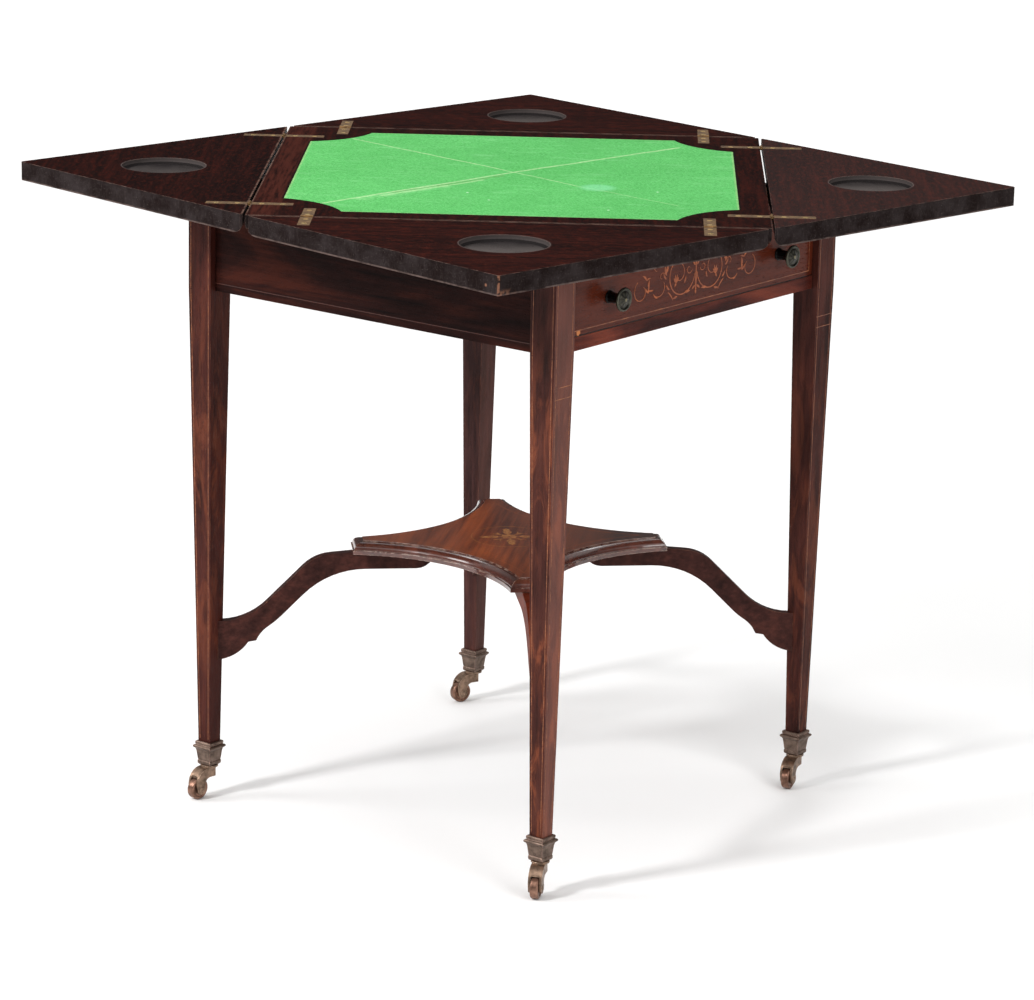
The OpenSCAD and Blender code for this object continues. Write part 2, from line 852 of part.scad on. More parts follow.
// Outline of a cup: beaded rim, taper and banded foot
module cup_outline()
{
    lip = leg_foot_w / 2 + 1.6;
    rim = cup_rim_w / 2;
    foot = cup_foot_w / 2;
    neck = cup_top - cup_h * 0.33;
    right = concat([[foot - 1, cup_low], [foot, cup_low + 1.6], [foot, cup_low + 4.6],
        [foot - 0.5, cup_low + 5.4]],
        [[foot - 0.2, cup_low + 6.6]],
        [[lip, neck - 3], [lip + 0.5, neck - 0.6], [lip + 1.2, neck + 0.6]],
        arc([rim - 1.9, neck + 3], 1.9, -50, 90, 6),
        [[lip + 0.5, neck + 5.6], [lip + 1.1, neck + 6.2], [lip + 1.1, cup_top - 0.8],
        [lip + 0.4, cup_top]]);
    polygon(concat(right, [for (k = [len(right) - 1:-1:0]) [-right[k].x, right[k].y]]));
}

module cup(i)
{
    head_low = cup_low + cup_floor - 3;
    color("#8a6a52")
        difference()
        {
            at_castor(i) square_turned(2 * cup_rim_w) cup_outline();
            leg_solid(i, seat_clear);
            at_castor(i)
            {
                translate([0, 0, cup_low - 1]) cylinder(r = stem_r + run_clear, h = cup_floor + 2);
                translate([0, 0, head_low]) cylinder(r = stem_r + 1.8, h = 4);
            }
        }
}

// Side view of a fork: a horn that sweeps from the crown down to the axle
module horn_outline()
{
    horn_r = (fork_h - 0.8) / 2;
    centre_z = fork_h - horn_r;
    centre_x = trail + cheek_r - sqrt(pow(horn_r, 2) - pow(centre_z - axle_z, 2));
    inner_r = 8;
    inner_z = neck_h - inner_r;
    inner_x = trail - cheek_r - sqrt(pow(inner_r, 2) - pow(inner_z - axle_z, 2));
    difference()
    {
        union()
        {
            intersection()
            {
                translate([centre_x, centre_z]) circle(horn_r);
                translate([centre_x, axle_z]) square([3 * horn_r, fork_h]);
            }
            translate([-stem_r, axle_z]) square([centre_x + stem_r, fork_h - axle_z]);
        }
        translate([inner_x, inner_z]) circle(inner_r);
        translate([-2 * trail, 0]) square([2 * trail + inner_x, inner_z + inner_r]);
        translate([0, 0]) square([inner_x + inner_r / 2, inner_z]);
    }
    translate([trail, axle_z]) circle(cheek_r);
}

// Side view of the web between the cheeks, closed over the wheel
module web_outline()
{
    difference()
    {
        intersection()
        {
            horn_outline();
            translate([-stem_r, 0]) square([stem_r + trail + 4, fork_h]);
        }
        translate([trail, axle_z]) circle(wheel_d / 2 + 1.2);
    }
}

module fork(i)
{
    half = wheel_w / 2 + side_clear;
    color("#8c7440")
        at_castor(i)
            rotate([0, 0, castor_turn[i]])
                difference()
                {
                    union()
                    {
                        for (side = [-1, 1])
                            translate([0, side * (half + cheek_t / 2), 0])
                                rotate([90, 0, 0])
                                    linear_extrude(cheek_t, center = true) horn_outline();
                        rotate([90, 0, 0])
                            linear_extrude(2 * half + 0.02, center = true) web_outline();
                        translate([0, 0, fork_h - 0.01]) cylinder(r = disc_r, h = disc_t + 0.01);
                        cylinder_stem();
                    }
                    translate([trail, 0, axle_z])
                        rotate([90, 0, 0])
                            cylinder(r = axle_r + seat_clear, h = 6 * wheel_w, center = true);
                }
}

// Upright pin with the riveted head that keeps it in the cup
module cylinder_stem()
{
    head_low = cup_low + cup_floor - 2.6;
    translate([0, 0, fork_h]) cylinder(r = stem_r, h = head_low + 2 - fork_h);
    translate([0, 0, head_low]) cylinder(r = stem_r + 1.4, h = 2);
}

module axle(i)
{
    half = wheel_w / 2 + side_clear + cheek_t;
    color("#7d6638")
        at_castor(i)
            rotate([0, 0, castor_turn[i]])
                translate([trail, 0, axle_z])
                    rotate([90, 0, 0])
                    {
                        cylinder(r = axle_r, h = 2 * half, center = true);
                        for (side = [0, 1])
                            mirror([0, 0, side])
                                translate([0, 0, half]) cylinder(r1 = axle_r + 1, r2 = axle_r, h = 0.8);
                    }
}

// Wheel with rounded tread edges and shallow hollow faces
module wheel(i)
{
    r = wheel_d / 2;
    h = wheel_w / 2;
    edge = 2;
    color("#9a6248")
        at_castor(i)
            rotate([0, 0, castor_turn[i]])
                translate([trail, 0, axle_z])
                    rotate([90, 0, 0])
                        rotate_extrude()
                            polygon(concat([[axle_r + run_clear, -h], [axle_r + 2, -h],
                                [axle_r + 3, 0.8 - h], [r - edge - 2, 0.8 - h], [r - edge - 1, -h]],
                                arc([r - edge, edge - h], edge, -90, 0, 5),
                                arc([r - edge, h - edge], edge, 0, 90, 5),
                                [[r - edge - 1, h], [r - edge - 2, h - 0.8],
                                [axle_r + 3, h - 0.8], [axle_r + 2, h], [axle_r + run_clear, h]]));
}

leg(0);  // leg_front_left
leg(1);  // leg_front_right
leg(2);  // leg_back_right
leg(3);  // leg_back_left
frieze(180);  // frieze_back
frieze(270);  // frieze_left
frieze(90);  // frieze_right
front_rail(upper_rail_low);  // front_top_rail
front_rail(frieze_low);  // drawer_rail
pivot_rail();
drawer_runners();
drawer_kickers();
swivel_stop();
shelf();
stretcher(0);  // stretcher_front_left
stretcher(1);  // stretcher_front_right
stretcher(2);  // stretcher_back_right
stretcher(3);  // stretcher_back_left
drawer_front();
drawer_side(-1);  // drawer_side_left
drawer_side(1);  // drawer_side_right
drawer_back();
drawer_bottom();
drawer_knobs();
top_board();
baize();
board_straps();
board_screws();
hinge_pins();
pivot_bolt();
pivot_nut();
stop_peg();
leaf(0);  // leaf_back
leaf(1);  // leaf_left
leaf(2);  // leaf_front
leaf(3);  // leaf_right
leaf_straps(0);  // straps_back
leaf_straps(1);  // straps_left
leaf_straps(2);  // straps_front
leaf_straps(3);  // straps_right
leaf_screws(0);  // screws_back
leaf_screws(1);  // screws_left
leaf_screws(2);  // screws_front
leaf_screws(3);  // screws_right
cup(0);  // cup_front_left
cup(1);  // cup_front_right
cup(2);  // cup_back_right
cup(3);  // cup_back_left
fork(0);  // fork_front_left
fork(1);  // fork_front_right
fork(2);  // fork_back_right
fork(3);  // fork_back_left
wheel(0);  // wheel_front_left
wheel(1);  // wheel_front_right
wheel(2);  // wheel_back_right
wheel(3);  // wheel_back_left
axle(0);  // axle_front_left
axle(1);  // axle_front_right
axle(2);  // axle_back_right
axle(3);  // axle_back_left
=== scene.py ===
"""Looks of the envelope games table: woods, inlay, baize, brass, light and camera."""
import math

import bpy
from mathutils import Matrix, Vector


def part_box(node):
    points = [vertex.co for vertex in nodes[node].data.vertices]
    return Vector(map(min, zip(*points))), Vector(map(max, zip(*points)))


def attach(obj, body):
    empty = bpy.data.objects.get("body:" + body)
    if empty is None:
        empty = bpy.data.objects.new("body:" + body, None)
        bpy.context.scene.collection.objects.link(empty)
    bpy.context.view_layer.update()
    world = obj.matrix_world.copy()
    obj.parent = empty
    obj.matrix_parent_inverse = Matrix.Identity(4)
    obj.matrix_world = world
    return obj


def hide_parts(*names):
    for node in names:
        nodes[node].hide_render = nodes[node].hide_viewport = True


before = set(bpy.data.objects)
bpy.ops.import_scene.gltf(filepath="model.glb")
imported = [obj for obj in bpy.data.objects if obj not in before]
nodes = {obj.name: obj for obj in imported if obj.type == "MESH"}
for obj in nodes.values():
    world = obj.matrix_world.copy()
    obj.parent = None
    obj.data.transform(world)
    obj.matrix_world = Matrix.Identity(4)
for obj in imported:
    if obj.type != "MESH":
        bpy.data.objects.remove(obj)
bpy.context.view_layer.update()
scene = bpy.context.scene

# Places and sizes of the frame's solids, in metres, and turns about the upright, in degrees
TABLE_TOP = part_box("baize")[1].z
LEAF_TURNS = {"back": 36.55, "left": 126.55, "front": 216.55, "right": 306.55}
CORNERS = {"front_left": (-1, -1), "front_right": (1, -1), "back_right": (1, 1), "back_left": (-1, 1)}
SEAM = 0.280                                # from the bolt to the joint between board and leaf
LEAF_POINT = 0.5576                         # from the bolt to a leaf's point
EDGE_THICK = 0.0194                         # the top's thickness, down to its worn lower arris
WELL_PLACE, WELL_RADIUS = 0.397, 0.047
WELL_MIDDLE, WELL_REACH = 0.0043, 0.004     # middle and half height of a well's zone, from the top down
BAIZE_HALF = 0.246
HOLLOW_PLACE, HOLLOW_RADIUS = 0.273, 0.098  # the rounds that hollow the baize's corners
KNOB_PLACE = (0.157, 0.6493)
KNOB_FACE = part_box("drawer_knobs")[0].y
KNOB_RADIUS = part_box("drawer_knobs")[1].x - KNOB_PLACE[0]
LEG_AXIS = 0.243
LEG_HALF_TOP, LEG_HALF_FOOT = 0.0165, 0.0088
LEG_TOP, LEG_KNEE, LEG_FOOT = 0.7063, 0.5996, 0.0664
SHELF_CORNER = 0.1685                       # from the middle to a corner of the shelf's square
SHELF_WAIST, SHELF_HOLLOW, SHELF_MOULD = 0.103, 0.190, 0.0125

# Turns that lay a material's grain along X, along Y and upright
ALONG_X, ALONG_Y, UPRIGHT = (0, 0, 0), (0, 0, 90), (0, 90, 0)


def srgb(*values):
    """Linear colour with alpha from 0..255 display values."""
    return tuple((v / 255 / 12.92) if v <= 10.3 else ((v / 255 + 0.055) / 1.055) ** 2.4 for v in values) + (1.0,)


class Look:
    """One procedural material, built from short calls on its own node tree."""

    def __init__(self, name, roughness, specular, metallic=0.0, coat=0.0, coat_roughness=0.1):
        self.material = bpy.data.materials.new(name)
        self.material.use_nodes = True
        self.tree = self.material.node_tree
        self.shader = self.tree.nodes["Principled BSDF"]
        for socket, value in (("Roughness", roughness), ("Specular IOR Level", specular), ("Metallic", metallic),
                              ("Coat Weight", coat), ("Coat Roughness", coat_roughness)):
            self.shader.inputs[socket].default_value = value
        coordinates = self.tree.nodes.new("ShaderNodeTexCoord")
        self.place = coordinates.outputs["Object"]
        self.facing = coordinates.outputs["Normal"]

    def feed(self, socket, value):
        if isinstance(value, bpy.types.NodeSocket):
            self.tree.links.new(value, socket)
        else:
            socket.default_value = value

    def set(self, **sockets):
        """Feeds shader sockets; Base_Color stands for Base Color."""
        for name, value in sockets.items():
            self.feed(self.shader.inputs[name.replace("_", " ")], value)
        return self

    def math(self, operation, a, b=0.0, c=0.0):
        node = self.tree.nodes.new("ShaderNodeMath")
        node.operation = operation
        for socket, value in zip(node.inputs, (a, b, c)):
            self.feed(socket, value)
        return node.outputs[0]

    def vector(self, operation, a, b=(0, 0, 0)):
        node = self.tree.nodes.new("ShaderNodeVectorMath")
        node.operation = operation
        self.feed(node.inputs[0], a)
        self.feed(node.inputs[1], b)
        return node.outputs["Value" if operation in ("LENGTH", "DISTANCE", "DOT_PRODUCT") else "Vector"]

    def parts(self, vector):
        node = self.tree.nodes.new("ShaderNodeSeparateXYZ")
        self.feed(node.inputs[0], vector)
        return node.outputs

    def joined(self, x, y, z):
        node = self.tree.nodes.new("ShaderNodeCombineXYZ")
        for socket, value in zip(node.inputs, (x, y, z)):
            self.feed(socket, value)
        return node.outputs[0]

    def product(self, first, *others):
        for value in others:
            first = self.math("MULTIPLY", first, value)
        return first

    def inverse(self, value):
        return self.math("SUBTRACT", 1.0, value)

    def step(self, value, low, high):
        """0 below low, 1 above high, smooth between."""
        node = self.tree.nodes.new("ShaderNodeMapRange")
        node.interpolation_type = "SMOOTHSTEP"
        for socket, v in zip(node.inputs, (value, low, high, 0.0, 1.0)):
            self.feed(socket, v)
        return node.outputs[0]

    def below(self, value, low, high):
        """1 below low, 0 above high, smooth between."""
        return self.inverse(self.step(value, low, high))

    def band(self, value, rise, fall):
        """1 between rise and fall, which are each the two ends of a smooth step."""
        return self.math("SUBTRACT", self.step(value, *rise), self.step(value, *fall))

    def segment(self, u, v, a, b, half_width):
        """1 within half_width of the line from a to b in the plane of u and v, soft at its edges and ends."""
        du, dv = b[0] - a[0], b[1] - a[1]
        size = math.hypot(du, dv)
        du, dv = du / size, dv / size
        along = self.math("MULTIPLY_ADD", u, du, self.math("MULTIPLY_ADD", v, dv, -(a[0] * du + a[1] * dv)))
        across = self.math("MULTIPLY_ADD", u, -dv, self.math("MULTIPLY_ADD", v, du, a[0] * dv - a[1] * du))
        soft = min(half_width, 0.004)
        ends = self.band(along, (-soft, soft), (size - soft, size + soft))
        return self.product(ends, self.below(self.math("ABSOLUTE", across), half_width * 0.35, half_width))

    def turned(self, turn, stretch=(1, 1, 1)):
        """Object coordinates turned so that the grain runs along X, then stretched."""
        node = self.tree.nodes.new("ShaderNodeMapping")
        node.vector_type = "TEXTURE"
        node.inputs["Rotation"].default_value = [math.radians(a) for a in turn]
        node.inputs["Scale"].default_value = stretch
        self.feed(node.inputs["Vector"], self.place)
        return node.outputs[0]

    def noise(self, vector, scale, detail=3.0, roughness=0.5, distortion=0.0):
        node = self.tree.nodes.new("ShaderNodeTexNoise")
        self.feed(node.inputs["Vector"], vector)
        for name, value in (("Scale", scale), ("Detail", detail), ("Roughness", roughness),
                            ("Distortion", distortion)):
            node.inputs[name].default_value = value
        return node.outputs["Fac"]

    def ramp(self, value, stops):
        node = self.tree.nodes.new("ShaderNodeValToRGB")
        self.feed(node.inputs[0], value)
        elements = node.color_ramp.elements
        while len(elements) < len(stops):
            elements.new(0.5)
        for element, (position, colour) in zip(elements, stops):
            element.position, element.color = position, colour
        return node.outputs[0]

    def mix(self, factor, a, b):
        node = self.tree.nodes.new("ShaderNodeMix")
        node.data_type = "RGBA"
        colours = [s for s in node.inputs if s.type == "RGBA"]
        self.feed(node.inputs["Factor"], factor)
        self.feed(colours[0], a)
        self.feed(colours[1], b)
        return [s for s in node.outputs if s.type == "RGBA"][0]

    def cover(self, colour, tint, *shares):
        """The colour under a tint that shows by all the shares multiplied."""
        return self.mix(self.product(*shares), colour, tint)

    def rounded(self, radius):
        node = self.tree.nodes.new("ShaderNodeBevel")
        node.samples = 4
        node.inputs["Radius"].default_value = radius
        return node.outputs[0]

    def arris(self, radius, low=0.02, high=0.25):
        """1 at sharp edges within radius, from the difference between rounded and true normals."""
        rounded = self.rounded(radius)
        geometry = self.tree.nodes.new("ShaderNodeNewGeometry")
        return self.step(self.inverse(self.vector("DOT_PRODUCT", rounded, geometry.outputs["Normal"])), low, high)

    def bump(self, height, distance, normal=None):
        node = self.tree.nodes.new("ShaderNodeBump")
        node.inputs["Distance"].default_value = distance
        self.feed(node.inputs["Height"], height)
        if normal is not None:
            self.feed(node.inputs["Normal"], normal)
        return node.outputs[0]


# Woods

def grain(look, turn, dark, mid, light, figure, flow=1.5, broad=1.0, fine=0.35, pore=0.3):
    """Rosewood colour and its height: broad figure, fine streaks and dark pores along X after turn."""
    cloud = look.noise(look.turned(turn, (4, 1, 1)), figure, 4, 0.55, flow)
    streaks = look.noise(look.turned(turn, (24, 1, 1)), 160, 4, 0.6, 0.2)
    pores = look.noise(look.turned(turn, (16, 1, 1)), 1300, 2, 0.6)
    tone = look.math("MULTIPLY_ADD", look.math("SUBTRACT", streaks, 0.5), fine,
                     look.math("MULTIPLY_ADD", look.math("SUBTRACT", cloud, 0.5), broad, 0.5))
    colour = look.ramp(tone, [(0.34, dark), (0.5, mid), (0.66, light)])
    hole = look.step(pores, 0.58, 0.70)
    colour = look.cover(colour, dark, hole, pore)
    height = look.math("SUBTRACT", look.product(streaks, 0.35), hole)
    return colour, height


def rosewood(name, turn, dark, mid, light, worn, roughness=0.4, specular=0.07, wear=0.5, glow=None, glow_share=0.5,
             front_sheen=0.0, painted_seam=None, **figure):
    """Polished rosewood with rubbed, paler arrises.

    With glow, orange mottles cover the piece, fewer of them high up: painted shade under the top. A front sheen
    share
    paints a pale haze on faces towards -Y, a painted reflection. A given edge height darkens the lower edge up to
    it:
    painted shade in the gap above the rail.
    """
    edge, lift = 0.0011, 0.0002
    look = Look(name, roughness, specular)
    colour, height = grain(look, turn, dark, mid, light, **figure)
    if glow:
        mottle = look.noise(look.turned(turn, (4, 1, 1)), 44, 6, 0.68, 1.0)
        region = look.step(look.noise(look.place, 7, 2, 0.5), 0.40, 0.60)
        # Fewer bright mottles high up: painted shade under the top
        below_painted_shade = look.inverse(look.product(0.75, look.step(look.parts(look.place)[2], 0.44, 0.62)))
        share = look.product(look.math("MULTIPLY_ADD", region, 0.7, 0.3), glow_share, below_painted_shade)
        colour = look.cover(colour, glow, look.step(mottle, 0.45, 0.63), share)
    # The lower edge painted near black: painted shade in the gap above the rail
    if painted_seam:
        above = look.step(look.parts(look.place)[2], painted_seam + 0.0007, painted_seam + 0.0016)
        colour = look.mix(above, srgb(16, 8, 7), colour)
    # A pale haze on faces towards -Y: painted reflection
    if front_sheen:
        front = look.below(look.parts(look.facing)[1], -0.9, -0.5)
        colour = look.cover(colour, srgb(170, 118, 106), front, front_sheen)
    patches = look.step(look.noise(look.place, 38, 4, 0.6), 0.42, 0.62)
    colour = look.cover(colour, worn, look.arris(edge), look.product(patches, wear))
    chip = look.product(look.arris(edge * 1.6), look.step(look.noise(look.place, 64, 3, 0.7), 0.66, 0.72))
    colour = look.cover(colour, srgb(190, 128, 84), chip, 0.8)
    haze = look.noise(look.place, 9, 3, 0.55)
    return look.set(Base_Color=colour,
                    Roughness=look.math("MULTIPLY_ADD", haze, 0.18, roughness - 0.07),
                    Normal=look.bump(height, lift, look.rounded(edge * 0.7)))


def leg_rosewood(name, dark, mid, light, glow_share, front_sheen):
    return rosewood(name, UPRIGHT, srgb(*dark), srgb(*mid), srgb(*light), srgb(172, 112, 84), figure=22,
                    flow=1.2, broad=0.75, fine=0.45, wear=0.5, glow=srgb(128, 68, 45), glow_share=glow_share,
                    front_sheen=front_sheen)


def drawer_rosewood():
    """Glossy drawer front with painted shade along its lower edge and a chip at its lower left corner."""
    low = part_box("drawer_front")[0]
    look = rosewood("drawer_rosewood", ALONG_X, srgb(52, 20, 12), srgb(80, 33, 20), srgb(102, 45, 28),
                    srgb(170, 108, 76), figure=12, flow=1.0, broad=0.6, fine=0.25, roughness=0.22,
                    specular=0.12, wear=0.15, painted_seam=low.z)
    sound = look.shader.inputs["Base Color"].links[0].from_socket
    away = look.vector("DISTANCE", look.place, (-0.2095, low.y, 0.6185))
    ragged = look.math("MULTIPLY_ADD", look.noise(look.place, 300, 3, 0.6), 0.006, away)
    return look.set(Base_Color=look.mix(look.step(ragged, 0.0052, 0.0064), srgb(190, 116, 66), sound))


# Each leg's copy is set lighter or darker, greyer or warmer, to the light that falls on it: partly the wood's own
# variation, partly painted light and shade
LEG_WOODS = {
    "back_left": leg_rosewood("leg_rosewood_left", (38, 15, 12), (59, 26, 21), (74, 35, 28), 0.38, 0.0),
    "front_left": leg_rosewood("leg_rosewood_front", (36, 17, 14), (62, 31, 26), (84, 46, 37), 0.72, 0.21),
    "front_right": leg_rosewood("leg_rosewood_right", (36, 15, 12), (60, 29, 24), (80, 41, 34), 0.32, 0.0),
    "back_right": leg_rosewood("leg_rosewood_far", (30, 14, 13), (56, 33, 31), (78, 48, 45), 0.25, 0.12)}
FRIEZE = (srgb(18, 7, 6), srgb(36, 15, 12), srgb(60, 26, 18), srgb(140, 90, 66))
FRIEZE_SIDE_WOOD, FRIEZE_BACK_WOOD = (
    rosewood(name, turn, *FRIEZE, figure=12, flow=2.6, broad=0.75, fine=0.5, wear=0.2, specular=0.04)
    for name, turn in (("frieze_rosewood", ALONG_Y), ("frieze_rosewood_back", ALONG_X)))
RAIL_WOOD = rosewood("rail_rosewood", ALONG_X, srgb(46, 18, 15), srgb(84, 36, 27), srgb(116, 54, 38),
                     srgb(166, 104, 74), figure=20, wear=0.35, roughness=0.36)
DRAWER_WOOD = drawer_rosewood()
STRETCHER_WOOD = rosewood("stretcher_rosewood", ALONG_X, srgb(34, 18, 16), srgb(58, 32, 28), srgb(82, 46, 39),
                          srgb(156, 110, 90), figure=18, broad=0.45, fine=0.45, wear=0.6)
# The front left stretcher gets a brighter, oranger copy of the stretcher wood: painted light where the lamp falls
# on its face
STRETCHER_LIT_WOOD = rosewood("stretcher_rosewood_lit", ALONG_X, srgb(60, 24, 15), srgb(98, 40, 24),
                                srgb(126, 54, 31), srgb(156, 110, 90), figure=18, broad=0.6, wear=0.4,
                                specular=0.02)
INNER = (srgb(92, 56, 34), srgb(134, 90, 58), srgb(168, 120, 80), srgb(180, 138, 98))
INNER_WOOD, INNER_WOOD_DEEP = (
    rosewood(name, turn, *INNER, figure=14, roughness=0.62, specular=0.15, wear=0.2, broad=0.7)
    for name, turn in (("carcase_wood", ALONG_X), ("carcase_wood_deep", ALONG_Y)))


def rubbed_point(look, z, point):
    """Share of bare wood at a leaf's point: a stripe down it, a skirt low on one side and a spot on the other."""
    along = math.radians(LEAF_TURNS["front"] + 90)
    sideways = Vector((math.cos(along), math.sin(along), 0))
    inwards = Vector((0.803, 0.596, 0))
    side_way = look.math("SUBTRACT", look.vector("DOT_PRODUCT", look.place, sideways),
                         point[0] * sideways[0] + point[1] * sideways[1])
    blot = look.step(look.noise(look.place, 210, 4, 0.65), 0.40, 0.58)
    tip = look.below(look.math("ABSOLUTE", side_way), 0.0008, 0.0017)
    low = look.below(z, TABLE_TOP - 0.0205, TABLE_TOP - 0.0135)
    skirt = look.product(low, look.product(look.step(side_way, -0.003, 0.001),
                                           look.below(side_way, 0.004, 0.020)))
    spot_place = Vector((point[0], point[1], TABLE_TOP)) + 0.0125 * (inwards - sideways - Vector((0, 0, 1)))
    spot = look.below(look.vector("DISTANCE", look.place, spot_place), 0.0010, 0.0022)
    rub = look.math("MAXIMUM", look.product(look.math("MAXIMUM", tip, skirt), blot), spot)
    near = look.vector("DISTANCE", look.place, (point[0], point[1], TABLE_TOP - 0.01))
    return look.product(rub, look.below(near, 0.030, 0.040))


def ebonised(look, z, grime, point):
    """Black, speckled edge of the top with a worn lower arris, and bare wood at a rubbed point."""
    ebony = look.mix(look.step(grime, 0.35, 0.7), srgb(24, 17, 16), srgb(45, 39, 39))
    brush = look.noise(look.turned(ALONG_X, (1, 1, 5)), 420, 4, 0.7)
    ebony = look.cover(ebony, srgb(70, 60, 58), look.step(brush, 0.5, 0.75), 0.2)
    dots = look.step(look.noise(look.place, 1000, 2, 0.5), 0.66, 0.72)
    ebony = look.cover(ebony, srgb(120, 110, 104), dots, 0.45)
    foot = look.product(look.math("LESS_THAN", z, TABLE_TOP - EDGE_THICK),
                        look.step(look.noise(look.place, 40, 4, 0.7), 0.32, 0.6))
    ebony = look.cover(ebony, srgb(118, 100, 94), foot, 0.45)
    if point:
        ebony = look.cover(ebony, srgb(160, 110, 86), rubbed_point(look, z, point), 0.5)
    return ebony


def counter_well(look, colour, height, z, well, angle, near_sheen):
    """Adds to colour and height a black satin well, with a painted reflection on its near side, painted shade at
    its wall and a pale rim that is a painted highlight.

    Returns them with the share of the surface that is the well's inside. The last argument sets how strong the
    painted reflection on the near side is.
    """
    # The near side of each well painted lighter: painted reflection, mixed with random mottling
    sheen_way = (-0.786, -0.618, 0)
    radius = look.vector("DISTANCE", look.place, (well[0], well[1], TABLE_TOP))
    inside = look.product(look.math("LESS_THAN", radius, WELL_RADIUS + 0.0002),
                          look.math("COMPARE", z, TABLE_TOP - WELL_MIDDLE, WELL_REACH))
    near_side = look.math("SUBTRACT", look.vector("DOT_PRODUCT", look.place, sheen_way),
                          sheen_way[0] * well[0] + sheen_way[1] * well[1])
    sheen_and_mottle = look.math("MULTIPLY_ADD", look.step(near_side, -0.045, 0.012), near_sheen,
                     look.math("MULTIPLY_ADD", look.noise(look.place, 34, 4, 0.6), 0.6, -0.2))
    scratches = look.noise(look.turned((0, 0, angle + 30), (7, 1, 1)), 500, 3, 0.7)
    satin = look.mix(sheen_and_mottle, srgb(30, 27, 28), srgb(82, 76, 74))
    satin = look.cover(satin, srgb(104, 98, 96), look.step(scratches, 0.55, 0.75), 0.12)
    # A dark band at the well's wall: painted shade under the rim
    satin = look.mix(look.step(radius, WELL_RADIUS - 0.0045, WELL_RADIUS - 0.0025), satin, srgb(34, 31, 31))
    height = look.product(height, look.inverse(inside))
    colour = look.mix(inside, colour, satin)
    # A pale line round the rim: painted highlight
    rim = look.band(radius, (WELL_RADIUS - 0.0005, WELL_RADIUS), (WELL_RADIUS + 0.0008, WELL_RADIUS + 0.0016))
    rim = look.product(rim, look.math("GREATER_THAN", z, TABLE_TOP - WELL_MIDDLE - WELL_REACH))
    return look.cover(colour, srgb(96, 88, 86), rim, 0.5), height, inside


def top_wood(name, angle, board=False, well=None, point=None, upper_sheen=0.0, shaded=0.0, near_sheen=0.8):
    """Dark top with ebonised edges, and pale arrises and seams painted as highlights.

    The board has a lighter strip beside the baize and painted shade round it. A leaf has a counter well, and one of
    them a rubbed point. One share greys the upper face, a painted reflection, and shaded darkens the wood, by a
    share.
    """
    look = Look(name, 0.4, 0.008)
    colour, height = grain(look, (0, 0, angle), srgb(13, 4, 4), srgb(31, 10, 8), srgb(52, 18, 13),
                           figure=22, flow=1.4, broad=0.35, fine=0.7)
    mottle = look.noise(look.turned((0, 0, angle), (3, 1, 1)), 210, 4, 0.75)
    colour = look.cover(colour, srgb(70, 24, 15), look.step(mottle, 0.50, 0.62), 0.5)
    specks = look.step(look.noise(look.place, 620, 2, 0.5), 0.66, 0.71)
    colour = look.cover(colour, srgb(112, 66, 48), specks, 0.4)
    colour = look.mix(shaded, colour, srgb(6, 4, 4))
    u, v, z = look.parts(look.turned((0, 0, LEAF_TURNS["back"])))
    # A grey haze on the upper face: painted reflection
    if upper_sheen:
        colour = look.cover(colour, srgb(104, 88, 86), look.step(z, TABLE_TOP - 0.0006, TABLE_TOP - 0.0002), upper_sheen)
    out_u, out_v = look.math("ABSOLUTE", u), look.math("ABSOLUTE", v)
    if board:
        strip = look.product(look.step(v, BAIZE_HALF - 0.004, BAIZE_HALF + 0.003),
                             look.below(v, SEAM - 0.008, SEAM - 0.001))
        streak = look.noise(look.turned((0, 0, angle), (14, 1, 1)), 260, 3, 0.6)
        colour = look.cover(colour, srgb(64, 29, 22), strip, look.step(streak, 0.3, 0.62))
        corner = look.math("SUBTRACT", HOLLOW_RADIUS,
                           look.vector("DISTANCE", look.joined(out_u, out_v, 0.0), (HOLLOW_PLACE, HOLLOW_PLACE, 0)))
        side = look.math("SUBTRACT", look.math("MAXIMUM", out_u, out_v), BAIZE_HALF)
        outside = look.math("MAXIMUM", side, corner)
        colour = look.cover(colour, srgb(14, 10, 9), look.below(outside, 0.0008, 0.0036), 0.85)
    # Pale bands along the joints between board and leaves: painted highlights on their arrises, broken in places
    worn = look.step(look.noise(look.place, 55, 4, 0.7), 0.32, 0.6)
    for place, share in ((out_u, 0.7), (v, 0.55)):
        painted_seam = look.band(place, (SEAM - 0.0036, SEAM - 0.0022), (SEAM + 0.0028, SEAM + 0.0042))
        colour = look.cover(colour, srgb(128, 100, 88), painted_seam, worn, share)
    side = look.below(look.math("ABSOLUTE", look.parts(look.facing)[2]), 0.3, 0.6)
    grime = look.noise(look.place, 24, 5, 0.75)
    colour = look.mix(side, colour, ebonised(look, z, grime, point))
    if well:
        colour, height, inside = counter_well(look, colour, height, z, well, angle, near_sheen)
    # Pale arris lines: painted highlights, broken in places
    lines = look.arris(0.0010, 0.03, 0.2)
    broken = look.step(look.noise(look.place, 120, 5, 0.75), 0.36, 0.62)
    colour = look.cover(colour, srgb(150, 122, 112), lines, broken, 0.62)
    roughness = look.math("MULTIPLY_ADD", grime, 0.2, 0.24)
    if well:
        roughness = look.math("SUBTRACT", roughness, look.product(inside, 0.06))
    return look.set(Base_Color=colour, Roughness=roughness, Normal=look.bump(height, 0.00012, look.rounded(0.0008)))


# Cloth

